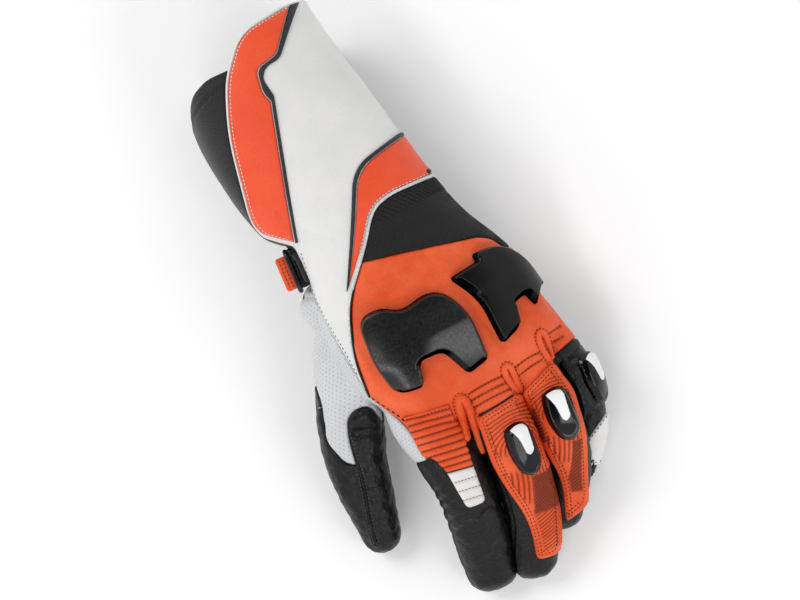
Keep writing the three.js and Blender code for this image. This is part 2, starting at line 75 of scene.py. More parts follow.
# Sections across the gauntlet, the wrist and the hand: y, x and z of the middle, half width, heights above
# and below the middle, and the roll that turns the little-finger side down, in degrees.
ARM = [
    (157, -22, 45, 37, 38, 48.5, 0), (138, -21.2, 45, 39.7, 39, 48.5, 0),
    (112, -19, 45.2, 43.4, 38.8, 48.5, 0), (85, -14.4, 47.2, 45, 35.4, 43.8, 1),
    (66, -10, 49, 45, 32, 38, 2), (54, -5.8, 50, 44.3, 29.5, 33, 3), (43, 1.2, 50.5, 40.6, 27.5, 29, 4),
    (30, 4.4, 50.5, 42.3, 27, 28, 6), (15, 8.2, 50.5, 46.6, 27, 28, 8), (0, 11.2, 50, 51.7, 27.5, 28, 10),
    (-15, 12, 49, 54, 27, 27.5, 11), (-30, 14, 48, 53.5, 26, 25.5, 11),
    (-43, 18, 46.5, 50.5, 23.5, 22, 11), (-53, 18, 45.5, 41, 20, 19, 10), (-65, 11, 46, 27, 12.5, 12.5, 6),
]

# Sections of the fingers and the thumb: x, y and z of the middle, half width, half height, and the turn that
# leans the finger's back towards +X, in degrees. tip is how far the rounded end reaches past the last row.
FINGERS = {
    "index": {"tip": 10.4, "rows": [
        (-12, -36, 47, 15, 13, 0), (-13, -56, 47.5, 16.5, 13.4, 0), (-9.4, -75, 46, 15.8, 13.2, 0),
        (-6.9, -94, 41, 14.9, 13, 0), (-7.3, -112, 32, 14.3, 12.6, 0), (-8.8, -129, 20.6, 14, 12.2, 0),
        (-10.6, -144, 11.4, 12.8, 11.6, 0)]},
    "middle": {"tip": 12, "beside": "index", "rows": [
        (20, -36, 48, 13, 13.5, 8), (21.5, -56, 48.8, 13.2, 13.6, 12), (22, -73, 47.3, 13.2, 13.6, 16),
        (21.6, -93, 42.2, 13.2, 13.6, 20), (20, -112, 32.5, 13.2, 13.2, 22), (16.8, -130, 20.8, 13, 12.8, 20),
        (11.4, -145.6, 11.6, 12, 11.8, 16)]},
    "ring": {"tip": 13.4, "beside": "middle", "rows": [
        (44, -32, 41, 12, 12.5, 14), (46.8, -51, 42.5, 12, 12.7, 12), (48.9, -67, 41.2, 11.9, 12.7, 10),
        (49.8, -84, 37, 11.8, 12.6, 6), (48, -100, 29.2, 11.8, 12.4, 4), (42.8, -115, 19.6, 11.7, 12, 4),
        (35.4, -127.5, 11.2, 10.8, 11.4, 4)]},
    "little": {"tip": 10, "beside": "ring", "rows": [
        (56.5, -28, 34, 10, 11.4, 30), (60, -43, 35, 10, 11.4, 38), (64.2, -58, 33.6, 10, 11.2, 46),
        (66, -74, 29.4, 10, 11, 52), (63.6, -88, 23, 9.8, 10.8, 52), (58, -100.5, 15.8, 9.6, 10.6, 46),
        (51.2, -109.5, 10.2, 9.4, 10.4, 40)]},
    "thumb": {"tip": 11.4, "rows": [
        (-24, 18.5, 43, 14, 12, -20), (-28, 11, 41, 19.4, 15, -20), (-31, 2, 38.5, 14, 15, -20),
        (-35.2, -12, 35.5, 15.6, 16, -20), (-41.3, -30, 31.5, 16.2, 16, -18),
        (-47.8, -50, 26.5, 16.8, 15.6, -14), (-52.3, -68, 21, 15.4, 14.6, -10),
        (-53.8, -86, 16, 13.2, 13.4, -6), (-54.8, -104, 11.2, 10.4, 11.4, -4)]},
}
STALLS = ("index", "middle", "ring", "little")
STALL_ROW = 2  # where a finger's own leather starts
STALL_ROOM = 1.6  # how far the hand's leather keeps off it

# Where a panel ends on the side of the glove: the height at x = y = 0, and how it slopes along X and along Y.
SEAMS = {
    "gauntlet": (46, 0, 0), "hand": (45, -0.2, 0), "gusset": (58, 0.54, 0.2), "thumb": (-5, 0, 0),
    "guard": (58, 0, 0), "little_guard": (45, 0, 0), "stretch": (46, 0, 0), "middle": (77.3, 0, 0.447),
    "ring": (71.8, 0, 0.459), "little": (60, 0, 0.45),
}

# Panels of the shell, in the order in which they are cut out of it. A corner is its x, its y and the radius
# that rounds it. Corners past the glove's edge only carry the panel round its side.
PANELS = {
    "thumb_stall": ("thumb", [
        (-80, -21), (-56, -21, 3), (-57.5, -36, 8), (-62.5, -51, 5), (-58, -64.5, 3), (-52.8, -68.3, 1),
        (-51, -54, 6), (-47, -42.5, 6), (-34, -42, 6), (-31.5, -54, 3), (-31.5, -130), (-80, -130)]),
    "gauntlet_back": ("gauntlet", [
        (60, 156.5), (4, 156.5, 12), (-22, 152, 10), (-37, 133, 8), (-46.5, 108, 14), (-53.5, 64, 8),
        (-50.5, 55, 3), (-38, 45, 4), (-39.5, 12, 20), (-33, -39, 1), (-32.5, -18, 12), (-24, 8, 10),
        (-4, 32, 10), (5, 46, 9), (16, 49.5, 5), (60, 50.5)]),
    "wrist_knit": ("hand", [
        (-12, 25), (5, 56), (70, 56), (70, 3), (59, 3.5), (51, 13.5, 6), (20, 19.5, 20)]),
    "hand_back": ("hand", [
        (-15, 30), (95, 30), (95, -50), (72, -52), (59, -56), (59, -95), (-20, -95), (-19, -77),
        (-21, -60, 8), (-32.6, -39.6), (-34, -10), (-30, 20)]),
    "thumb_gusset": ("gusset", [(-10, 26), (-70, 26), (-70, -75), (-10, -90)]),
}
WRIST_SEAM = 47
WRIST_GAP = 0.3
ROOM = ((-90, -170, -30), (90, 200, HIGH))  # a box round the whole glove
FLAP = [(60, 30), (60, 137), (-46, 137, 4), (-58, 132, 8), (-63, 116, 10), (-80, 90), (-80, 30)]

FIELDS = {
    "gauntlet_thumb_panel": [
        (6, 155), (-21, 150.5, 8), (-36, 132, 8), (-45.2, 108, 12), (-52.2, 64, 6), (-49.5, 56.5, 3),
        (-37, 47), (-31.5, 70), (-20.5, 114.5), (-22.5, 120, 3), (-21, 132, 4), (-9, 135, 3)],
    "gauntlet_wrist_panel": [
        (55, 75), (32, 74), (6, 67, 10), (-6, 42, 12), (-19.6, 17), (-6, 33), (4, 48, 9), (16, 51.2, 5),
        (55, 52.2)],
}
BANDS = {
    "gauntlet_thumb_band": [
        (6.8, 155.4), (11.5, 155.4), (-8, 132.3, 3), (-16.5, 131, 4), (-19.6, 126, 2), (-17.7, 116.6, 1),
        (-28.4, 74), (-35.2, 46), (-36.4, 46.5), (-31.1, 70), (-20, 114.5), (-22, 120, 3), (-20.5, 131.6, 4),
        (-8.6, 134.6, 3)],
    "gauntlet_wrist_band": [
        (55, 78), (32, 76.5), (4, 68.8, 10), (-8, 43, 12), (-22.6, 14), (-20.1, 16.6), (-6.4, 42, 12),
        (5.6, 67.4, 10), (32, 74.4), (55, 75.4)],
}
GUARDS = {
    "knuckle_guard_index": ("guard", [
        (-23.6, -0.8, 9), (-11, 0.8, 6), (-2, -5, 5), (18, -0.5, 10), (29, -17, 10), (29.2, -43.5, 3),
        (17, -46.8, 3), (9.5, -31.5, 4), (-2.8, -31.5, 3), (-5.8, -44, 3), (-20, -42.6, 8), (-24.2, -24, 6)]),
    "knuckle_guard_little": ("little_guard", [
        (26, 0.3, 3), (41.3, 2.6, 1), (41, 7, 2), (53.5, 6.8, 8), (62.5, -3, 8), (66.6, -21.5, 3),
        (61, -29, 2), (57.8, -21.5, 2), (51, -23.5, 2), (49.3, -35.2, 3), (38, -40, 3), (35.8, -15, 8)]),
}
COVERS = {
    "middle": [(12.8, -69, 3), (36, -65.5, 3), (37.2, -90, 8), (35.5, -118, 8), (25, -149, 6),
               (12.5, -147.5, 3), (16.5, -127, 10), (11, -97, 10)],
    "ring": [(39, -66, 2), (57.5, -58, 3), (61.4, -75, 6), (59, -98, 8), (47, -131.5, 6), (33.5, -136, 3),
             (39.8, -115, 8), (38, -88, 8)],
}
ACCORDION = [
    (-21.5, -54), (2.2, -56.5), (2.4, -76), (1.2, -89.8), (-12, -88), (-15.5, -78.5, 3), (-20, -76, 1)]
WHITE_TIP = [(-12, -88.6), (1.2, -90.4), (0.2, -109, 3), (-9.6, -109, 3)]
LITTLE_PATCH = [(59, -101.5, 1), (80, -89), (80, -110), (61, -116.5, 2), (54, -113.5, 1)]


def read(collection, field, width=1, kind=np.float32):
    """A field of Blender's own collection as rows of numbers."""
    values = np.empty(len(collection) * width, kind)
    collection.foreach_get(field, values)
    values = values.astype(float if kind == np.float32 else np.int64)
    return values.reshape(-1, width) if width > 1 else values


def smooth_rows(rows, step):
    """The table's rows with a smooth curve through them, about a step apart along their middles."""
    rows = np.array(rows, float)
    place = np.concatenate([[0], np.cumsum(np.linalg.norm(np.diff(rows[:, :3], axis=0), axis=1))])
    slope = np.gradient(rows, place, axis=0)
    made = []
    for i in range(len(rows) - 1):
        length = place[i + 1] - place[i]
        t = np.arange(0, 1, 1 / max(1, round(length / step)))[:, None]
        made.append((1 + 2 * t) * (1 - t) ** 2 * rows[i] + t * (1 - t) ** 2 * length * slope[i]
                    + t * t * (3 - 2 * t) * rows[i + 1] + t * t * (t - 1) * length * slope[i + 1])
    return np.vstack([*made, rows[-1:]])


def oval(wide, up, down, sides):
    """Offsets across and up of a rounded oval."""
    turn = 2 * np.pi * np.arange(sides) / sides
    circle = np.array([np.cos(turn), np.sin(turn)])
    across, rise = np.sign(circle) * np.abs(circle) ** (2 / SQUARENESS)
    return wide * across, np.where(rise > 0, up, down) * rise


def on_floor(points, soft=0.7):
    """Leather that would reach under the floor is flattened on it, with a soft bend."""
    points[..., 2] = 0.5 * (points[..., 2] + np.sqrt(points[..., 2] ** 2 + 4 * soft * soft)) - soft * 0.3
    return points


def arm_rings():
    """The rings of the gauntlet, the wrist and the hand, from beyond the mouth to the fingers."""
    rings = []
    table = [(r[1], r[0], r[2], *r[3:]) for r in ARM]
    table.insert(0, (table[0][0], table[0][1] + BEYOND, *table[0][2:]))
    for x, y, z, wide, up, down, roll in smooth_rows(table, ARM_STEP):
        across, rise = oval(wide, up, down, ARM_SIDES)
        c, s = math.cos(math.radians(roll)), math.sin(math.radians(roll))
        level = np.full(ARM_SIDES, y)
        rings.append(np.stack([x + across * c + rise * s, level, z - across * s + rise * c], 1))
    return on_floor(np.array(rings))


def finger_rings(name, grow=0.0, first=0, lead=0.0):
    """A finger's rings from one of its rows to the pole of its tip. lead starts them before that row."""
    finger = FINGERS[name]
    rows = smooth_rows(finger["rows"], FINGER_STEP)
    ahead = np.gradient(rows[:, :3], axis=0)
    ahead /= np.linalg.norm(ahead, axis=1)[:, None]
    start = 0
    if first:
        wanted = np.array(finger["rows"][first][:3])
        nearest = int(np.argmin(np.linalg.norm(rows[:, :3] - wanted, axis=1)))
        start = nearest - round(lead / FINGER_STEP)
    rings = []

    def ring(row, middle, direction, scale):
        turn = math.radians(row[5])
        across = np.cross(direction, (math.sin(turn), 0, math.cos(turn)))
        across /= -np.linalg.norm(across)
        back = -np.cross(across, direction)
        high = (row[4] + grow) * scale
        u, v = oval((row[3] + grow) * scale, high, high, FINGER_SIDES)
        rings.append(middle + u[:, None] * across + v[:, None] * back)

    for row, direction in zip(rows[start:], ahead[start:]):
        ring(row, row[:3], direction, 1)
    for turn in np.linspace(0, np.pi / 2, TIP_RINGS + 1)[1:]:
        middle = rows[-1, :3] + ahead[-1] * (finger["tip"] + grow) * math.sin(turn)
        ring(rows[-1], middle, ahead[-1], max(math.cos(turn), POLE_SIZE))
    return on_floor(np.array(rings))


def loft_faces(count, sides):
    """Quads between rings of equally many points."""
    k = np.arange(sides)
    quads = [np.stack([r * sides + k, r * sides + (k + 1) % sides, (r + 1) * sides + (k + 1) % sides,
                       (r + 1) * sides + k], 1) for r in range(count - 1)]
    return np.vstack(quads).tolist()


def closed_loft(rings):
    """Points and faces of a closed solid from rings, with a flat face over each end."""
    count, sides = rings.shape[:2]
    faces = loft_faces(count, sides)
    faces.append(list(range(sides))[::-1])
    faces.append([(count - 1) * sides + k for k in range(sides)])
    return rings.reshape(-1, 3), faces


def mesh_of(points, faces, flag=0):
    """A mesh whose faces all have one material index. Its faces are turned to point out."""
    mesh = bpy.data.meshes.new("part")
    mesh.from_pydata(np.asarray(points).tolist(), [], faces)
    bm = bmesh.new()
    bm.from_mesh(mesh)
    bmesh.ops.recalc_face_normals(bm, faces=bm.faces)
    for face in bm.faces:
        face.material_index = flag
    bm.to_mesh(mesh)
    bm.free()
    for _ in range(2):
        mesh.materials.append(None)
    return mesh


def clean(mesh):
    """Gives a mesh the fields that the materials read."""
    for name in ("groove_shade", "tint"):
        mesh.attributes.new(name, "FLOAT", "POINT")
    return mesh


def modified(mesh, *steps, some=()):
    """The mesh after some modifiers, each given as its kind and its settings. some is the group they use."""
    body = bpy.data.objects.new("work", mesh)
    bpy.context.scene.collection.objects.link(body)
    if len(some):
        body.vertex_groups.new(name="some").add(some, 1.0, "REPLACE")
    for kind, settings in steps:
        modifier = body.modifiers.new(kind.lower(), kind)
        for key, value in settings.items():
            setattr(modifier, key, value)
    graph = bpy.context.evaluated_depsgraph_get()
    done = body.evaluated_get(graph)
    made = bpy.data.meshes.new_from_object(done, preserve_all_data_layers=len(some) > 0, depsgraph=graph)
    bpy.data.objects.remove(body)
    return made


def carve(solid, tool, operation):
    """The solid cut by the tool. The faces that the tool leaves have its material index."""
    blade = bpy.data.objects.new("blade", tool)
    bpy.context.scene.collection.objects.link(blade)
    made = modified(solid, ("BOOLEAN", {"object": blade, "operation": operation, "solver": "MANIFOLD"}))
    bpy.data.objects.remove(blade)
    return made


def joined(parts):
    """Several lots of points and faces as one lot."""
    points, faces, count = [], [], 0
    for some, their in parts:
        points.append(np.asarray(some))
        faces += [[k + count for k in face] for face in their]
        count += len(some)
    return np.vstack(points), faces


LONGEST_ROUND = 0.48  # how much of a side a rounded corner may take


def outline(corners, steps=8):
    """The closed line through some corners, each rounded by the radius that its row may give."""
    made = []
    for i, corner in enumerate(corners):
        here = np.array(corner[:2], float)
        radius = corner[2] if len(corner) > 2 else 0
        if not radius:
            made.append(here)
            continue
        ends = []
        for other in (corners[i - 1], corners[(i + 1) % len(corners)]):
            step = np.array(other[:2], float) - here
            length = np.linalg.norm(step)
            ends.append(here + step * min(radius, length * LONGEST_ROUND) / length)
        for t in np.linspace(0, 1, steps + 1):
            made.append((1 - t) ** 2 * ends[0] + 2 * t * (1 - t) * here + t * t * ends[1])
    made = np.array(made)
    x, y = made.T
    turned = np.sum(x * np.roll(y, -1) - y * np.roll(x, -1)) < 0
    return made[::-1] if turned else made


def widened(points, distance):
    """An outline moved out by a distance."""
    edge = np.roll(points, -1, axis=0) - points
    normal = np.stack([edge[:, 1], -edge[:, 0]], 1)
    normal /= np.linalg.norm(normal, axis=1)[:, None] + TINY
    step = normal + np.roll(normal, 1, axis=0)
    step /= np.linalg.norm(step, axis=1)[:, None] + TINY
    return points + step * distance / np.maximum(np.sum(step * normal, 1), 0.5)[:, None]


def cutter(points, seam, gap=0.0):
    """A vertical solid over an outline, from the seam's plane up to clear air."""
    z, slope, fall = seam
    low = np.column_stack([points, z - gap + slope * points[:, 0] + fall * points[:, 1]])
    rings = np.stack([low, np.column_stack([points, np.full(len(points), HIGH)])])
    return mesh_of(*closed_loft(rings), flag=1)


def block(low, high):
    """A plain box as a cutter."""
    x0, y0, z0, x1, y1, z1 = *low, *high
    ring = [(x0, y0), (x1, y0), (x1, y1), (x0, y1)]
    return mesh_of(*closed_loft(np.array([[(*p, z) for p in ring] for z in (z0, z1)], float)), flag=1)


def smoothstep(value, low, high):
    t = np.clip((value - low) / (high - low), 0, 1)
    return t * t * (3 - 2 * t)


def rounded(value, width):
    """A quarter round: 0 at 0, and 1 from the width on."""
    share = np.clip(value / width, 0, 1)
    return np.sqrt(share * (2 - share))


def bell(value, width):
    """1 at 0, and almost 0 at twice the width."""
    return np.exp(-(value / width) ** 2)


def waver(points, size, seed):
    """Smooth noise of a given size, from -1 to 1, for each point."""
    shift = Vector((seed * 7.3, seed * 3.1, seed * 11.7))
    return np.array([noise.noise(Vector(p) / size + shift) for p in points])


FOLD_SIDE = -0.2  # a fold stays on the faces whose direction points up by more than this


class Skin:
    """An open piece of surface: its points' distances to its own border, and what is done to their height,
    the painted shade in their grooves, creases and seams, and their tint. The faces that a cut left are taken
    off it first.
    """

    def __init__(self, mesh, cuts=0, fair=3, rim_cuts=0):
        bm = bmesh.new()
        bm.from_mesh(mesh)
        bmesh.ops.delete(bm, geom=[f for f in bm.faces if f.material_index == 1], context="FACES")
        bmesh.ops.remove_doubles(bm, verts=bm.verts, dist=WELD)
        keep_largest(bm)
        if cuts:
            bmesh.ops.subdivide_edges(bm, edges=bm.edges, cuts=cuts, use_grid_fill=True)
        if rim_cuts:
            close = {v for v in bm.verts if v.is_boundary}
            close |= {e.other_vert(v) for v in close for e in v.link_edges}
            edges = [e for e in bm.edges if e.verts[0] in close or e.verts[1] in close]
            bmesh.ops.subdivide_edges(bm, edges=edges, cuts=rim_cuts, use_grid_fill=True)
        inside = [v for v in bm.verts if not v.is_boundary]
        axes = {f"use_axis_{axis}": True for axis in "xyz"}
        for _ in range(fair):
            bmesh.ops.smooth_vert(bm, verts=inside, factor=0.5, **axes)
        made = bpy.data.meshes.new("skin")
        bm.to_mesh(made)
        bm.free()
        self.points = read(made.vertices, "co", 3)
        self.normals = read(made.vertex_normals, "vector", 3)
        self.faces = [list(face.vertices) for face in made.polygons]
        self.rim = rim_of(made)
        self.tree = BVHTree.FromPolygons(self.points.tolist(), self.faces)
        self.height = np.zeros(len(self.points))
        self.groove_shade = np.zeros(len(self.points))
        self.tint = np.zeros(len(self.points))
        self.depth, self.outward = self.distance_to(self.rim_samples())

    def rim_samples(self):
        first, second = (self.points[[pair[k] for pair in self.rim]] for k in (0, 1))
        return np.vstack([first * (1 - share) + second * share for share in np.linspace(0, 0.8, 5)])

    def distance_to(self, samples, some=slice(None)):
        """The points' distances to the nearest sample, and the directions towards it."""
        tree = kdtree.KDTree(len(samples))
        for i, sample in enumerate(samples.tolist()):
            tree.insert(sample, i)
        tree.balance()
        points = self.points[some]
        found = samples[[tree.find(point)[1] for point in points.tolist()]]
        towards = found - points
        distance = np.linalg.norm(towards, axis=1)
        return distance, towards / (distance[:, None] + TINY)

    def near(self, line, reach=6.0):
        """Every point's distance to a plan line laid on the surface, as far as it matters."""
        samples = laid(self.tree, line, FINE / 2)[0]
        distance = np.full(len(self.points), reach)
        low, high = samples.min(0) - reach, samples.max(0) + reach
        close = np.flatnonzero(np.all((self.points > low) & (self.points < high), axis=1))
        distance[close] = self.distance_to(samples, close)[0]
        return distance

    def roll_edge(self, width, drop, groove_shade):
        """The border turns down into its seam, with painted shade along it."""
        self.height -= drop * (1 - rounded(self.depth, width))
        self.groove_shade = np.maximum(self.groove_shade, groove_shade * (1 - smoothstep(self.depth, 0, width * 0.6)))

    def rise(self, edge, top, width, groove_shade=0.5):
        """A laid-on piece: its edge is a step up, rounded over a width to its top, with painted shade at its
        foot.
        """
        self.height += edge + (top - edge) * rounded(self.depth, width)
        self.groove_shade = np.maximum(self.groove_shade, groove_shade * (1 - smoothstep(self.depth, 0, width * 0.5)))

    def crease(self, lines, depth, width, lip=0.0, groove_shade=0.8):
        """Lines pressed into the surface, with raised lips on both sides and painted shade in each line."""
        for line in lines:
            d = self.near(line)
            self.height += lip * bell(d - 2.2 * width, 1.2 * width) - depth * bell(d, width)
            self.groove_shade = np.maximum(self.groove_shade, groove_shade * bell(d, 0.8 * width))

    def folds(self, rows):
        """Soft folds: each row is two plan ends, the width and the height, which is below 0 for a valley."""
        for x0, y0, x1, y1, width, height in rows:
            start, along = np.array([x0, y0]), np.array([x1 - x0, y1 - y0])
            share = np.clip(((self.points[:, :2] - start) @ along) / (along @ along), 0, 1)
            d = np.linalg.norm(self.points[:, :2] - start - share[:, None] * along, axis=1)
            self.height += height * bell(d, width) * (self.normals[:, 2] > FOLD_SIDE)

    def swell(self, rows):
        """Slow unevenness: each row is the size of its swells, their height and the seed of their noise."""
        for size, height, seed in rows:
            self.height += height * waver(self.points, size, seed)

    def placed(self, direction=None):
        return self.points + (self.normals if direction is None else direction) * self.height[:, None]

    def solid(self, under, direction=None, thin=True):
        """A closed mesh: the shaped surface, a lower one under the plain form, and a rim between them."""
        count = len(self.points)
        top = self.placed(direction)
        bottom = self.points - self.normals * under
        faces = self.faces + [[k + count for k in face[::-1]] for face in self.faces]
        faces += [[b, a, a + count, b + count] for a, b in self.rim]
        points = np.vstack([top, bottom])
        points[:, 2] = np.maximum(points[:, 2], 0.0)
        mesh = bpy.data.meshes.new("part")
        mesh.from_pydata(points.tolist(), [], faces)
        for name, values in (("groove_shade", self.groove_shade), ("tint", self.tint)):
            field = mesh.attributes.new(name, "FLOAT", "POINT")
            field.data.foreach_set("value", np.tile(values, 2).astype(np.float32))
        ends = np.sort(read(mesh.edges, "vertices", 2, np.int32), axis=1)
        rim = np.sort(np.array(self.rim), axis=1)
        rim = np.vstack([rim, rim + count])
        sharp = np.isin(ends[:, 0] * 2 * count + ends[:, 1], rim[:, 0] * 2 * count + rim[:, 1])
        mesh.edges.foreach_set("use_edge_sharp", sharp)
        if not thin:
            return mesh
        unseen = np.setdiff1d(np.arange(count), self.rim) + count
        settings = {"ratio": 0.5 + 0.5 * UNSEEN_SHARE, "vertex_group": "some"}
        return modified(mesh, ("DECIMATE", settings), some=unseen.tolist())


def rim_of(mesh):
    """The border of an open mesh, as pairs of points in the order of its faces."""
    corner, edge = (read(mesh.loops, field, kind=np.int32) for field in ("vertex_index", "edge_index"))
    start, total = (read(mesh.polygons, field, kind=np.int32) for field in ("loop_start", "loop_total"))
    after = np.arange(len(corner)) + 1
    after[start + total - 1] = start
    open_edge = np.bincount(edge, minlength=len(mesh.edges)) == 1
    loops = np.flatnonzero(open_edge[edge])
    return list(zip(corner[loops].tolist(), corner[after[loops]].tolist()))


def keep_largest(bm):
    """Deletes every loose island but the largest."""
    left, islands = set(bm.verts), []
    while left:
        stack, island = [left.pop()], []
        while stack:
            vert = stack.pop()
            island.append(vert)
            for edge in vert.link_edges:
                other = edge.other_vert(vert)
                if other in left:
                    left.discard(other)
                    stack.append(other)
        islands.append(island)
    islands.sort(key=len)
    bmesh.ops.delete(bm, geom=[v for island in islands[:-1] for v in island], context="VERTS")
    bm.verts.index_update()


def resampled(line, step, closed=False):
    """Points an even step apart along a line."""
    line = np.asarray(line, float)
    if closed:
        line = np.vstack([line, line[:1]])
    place = np.concatenate([[0], np.cumsum(np.linalg.norm(np.diff(line, axis=0), axis=1))])
    wanted = np.linspace(0, place[-1], max(2, round(place[-1] / step) + 1))
    return np.stack([np.interp(wanted, place, line[:, k]) for k in range(line.shape[1])], 1)


def laid(tree, line, step):
    """A plan line laid on a surface: its points and the surface's directions there, where it meets it."""
    points, normals = [], []
    for x, y in resampled(line, step):
        hit, normal, *_ = tree.ray_cast(Vector((x, y, HIGH)), DOWN)
        if hit is not None:
            points.append(hit)
            normals.append(normal)
    return np.array(points).reshape(-1, 3), np.array(normals).reshape(-1, 3)


def smooth_line(points, step=FINE):
    """A smooth curve through a few points of a plan line."""
    points = np.array([(*p, 0) for p in points], float)
    return smooth_rows(points, step)[:, :2]


def to_row(mesh):
    """Moves a mesh from the hand's frame, in millimetres, into the row's, in metres."""
    mesh.transform(Matrix.Scale(MM, 4) @ Matrix.Translation(Vector(SHIFT)))
    return mesh


def piece(name, mesh, look, slot, *nodes):
    """A finished piece of the glove in one material, which stands for some CAD nodes."""
    to_row(mesh)
    mesh.materials.clear()
    mesh.materials.append(look)
    mesh.polygons.foreach_set("use_smooth", np.ones(len(mesh.polygons), bool))
    mesh.name = name
    made = bpy.data.objects.new(name, mesh)
    bpy.context.scene.collection.objects.link(made)
    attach(made, "root")
    if nodes:
        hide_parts(*nodes)
    return made


# Materials


def colour(code):
    """A colour as linear values, from its usual hexadecimal one."""
    values = [int(code[i:i + 2], 16) / 255 for i in (0, 2, 4)]
    return (*[v / 12.92 if v <= 0.04045 else ((v + 0.055) / 1.055) ** 2.4 for v in values], 1)


class Finish:
    """A material that is built node by node."""

    def __init__(self, name, roughness=0.5, sockets=None):
        self.material = bpy.data.materials.new(name)
        self.material.use_nodes = True
        self.nodes = self.material.node_tree.nodes
        self.links = self.material.node_tree.links
        self.shader = self.nodes["Principled BSDF"]
        self.shader.inputs["Roughness"].default_value = roughness
        for key, value in (sockets or {}).items():
            self.shader.inputs[key].default_value = value
        self.place = self.node("TexCoord").outputs["Object"]

    def node(self, kind, inputs=None, **settings):
        made = self.nodes.new("ShaderNode" + kind)
        for key, value in settings.items():
            setattr(made, key, value)
        for key, value in (inputs or {}).items():
            self.put(made.inputs[key], value)
        return made

    def put(self, socket, value):
        if isinstance(value, bpy.types.NodeSocket):
            self.links.new(value, socket)
        else:
            socket.default_value = value

    def spread(self, side):
        """The place with its height added to x, so that a pattern in plan runs on evenly down a side.

        side is z for the sides at -X, -z for those at +X, and both for each side by the sign of x.
        """
        split = self.node("SeparateXYZ", {0: self.place})
        x, y, z = split.outputs
        sign = {"z": 1.0, "-z": -1.0, "both": self.math("SIGN", x)}[side]
        spread = self.math("ADD", x, self.math("MULTIPLY", z, sign))
        return self.node("CombineXYZ", {0: spread, 1: y}).outputs[0]

    def noise(self, size, detail=3, roughness=0.55, **settings):
        """Noise whose features are about that many millimetres wide."""
        inputs = {"Vector": self.place, "Scale": 1 / (size * MM), "Detail": detail, "Roughness": roughness}
        return self.node("TexNoise", inputs, **settings).outputs["Fac"]

    def cells(self, size, kind):
        inputs = {"Vector": self.place, "Scale": 1 / (size * MM)}
        return self.node("TexVoronoi", inputs, feature=kind).outputs["Distance"]

    def value(self, name):
        """A number that the mesh carries at each point."""
        return self.node("Attribute", attribute_name=name).outputs["Fac"]

    def math(self, operation, a, b=0.0):
        return self.node("Math", {0: a, 1: b}, operation=operation).outputs[0]

    def ramp(self, value, low, high, out_low=0.0, out_high=1.0):
        inputs = {0: value, 1: low, 2: high, 3: out_low, 4: out_high}
        return self.node("MapRange", inputs).outputs[0]

    def blend(self, share, a, b):
        made = self.node("Mix", {0: share}, data_type="RGBA")
        self.put(made.inputs[6], a)
        self.put(made.inputs[7], b)
        return made.outputs[2]

    def bump(self, height, distance, strength):
        inputs = {"Height": height, "Distance": distance * MM, "Strength": strength}
        return self.node("Bump", inputs).outputs["Normal"]

    def finish(self, base=None, roughness=None, normal=None):
        for name, value in (("Base Color", base), ("Roughness", roughness), ("Normal", normal)):
            if value is not None:
                self.put(self.shader.inputs[name], value)
        return self.material


WRINKLE_SIZE = 7.0
HOLE_PITCH = 2.5
HOLE_TURN = math.radians(38)
HOLE_COLOUR = "7c7e84"
KNIT_PITCH = 1.25
KNIT_ROW = 0.9
THREAD_TWIST = 0.5
WAVE = 0.314  # scale of a wave texture whose bands are 1 apart


def leather(name, main, worn, groove_shade, grain=0.7, depth=0.12, rough=(0.45, 0.62), fleck=0.12, shine=0.45,
            holes=False, wrinkles=0.0, tint=None):
    """Grained leather: main is its colour, worn its slow variation, and the third colour the painted shade in
    its seams and creases, which its random flecks also take.

    grain is the size of its pebbles, depth that of its relief, and tint the colour of its dyed patches.
    """
    f = Finish(name, sockets={"Specular IOR Level": shine})
    slow = f.ramp(f.noise(26, 4), 0.38, 0.66)
    base = f.blend(slow, colour(main), colour(worn))
    # Random dark flecks of that colour: the grain's own uneven tone.
    fine = f.ramp(f.noise(0.9, 2), 0.35, 0.65, 0.0, fleck)
    base = f.blend(fine, base, colour(groove_shade))
    if tint:
        base = f.blend(f.value("tint"), base, colour(tint))
    # Painted shade in seams, creases, rib valleys and at the foot of steps, where the mesh's shade value is
    # set.
    base = f.blend(f.value("groove_shade"), base, colour(groove_shade))
    pebbles = f.cells(grain, "SMOOTH_F1")
    lines = f.ramp(f.cells(grain * 2.6, "DISTANCE_TO_EDGE"), 0.0, 0.16)
    height = f.math("ADD", f.math("MULTIPLY", pebbles, -0.7), f.math("MULTIPLY", lines, 0.5))
    height = f.math("ADD", height, f.math("MULTIPLY", f.noise(3.2, 4), 0.9))
    if wrinkles:
        bent = f.noise(WRINKLE_SIZE, 5.0, 0.6, noise_type="RIDGED_MULTIFRACTAL", normalize=True)
        height = f.math("SUBTRACT", height, f.math("MULTIPLY", bent, wrinkles))
    if holes:
        turned = f.node("Mapping", {"Vector": f.spread("z"), "Rotation": (0, 0, HOLE_TURN)}).outputs[0]
        inputs = {"Vector": turned, "Scale": 1 / (HOLE_PITCH * MM), "Randomness": 0.0}
        spot = f.node("TexVoronoi", inputs, voronoi_dimensions="2D").outputs["Distance"]
        hole = f.ramp(spot, 0.1, 0.16, 1.0, 0.0)
        base = f.blend(f.math("MULTIPLY", hole, 0.75), base, colour(HOLE_COLOUR))
        height = f.math("SUBTRACT", height, f.math("MULTIPLY", hole, 2.2))
    return f.finish(base, f.ramp(f.noise(2.1, 3), 0.3, 0.7, *rough), f.bump(height, depth, 0.75))


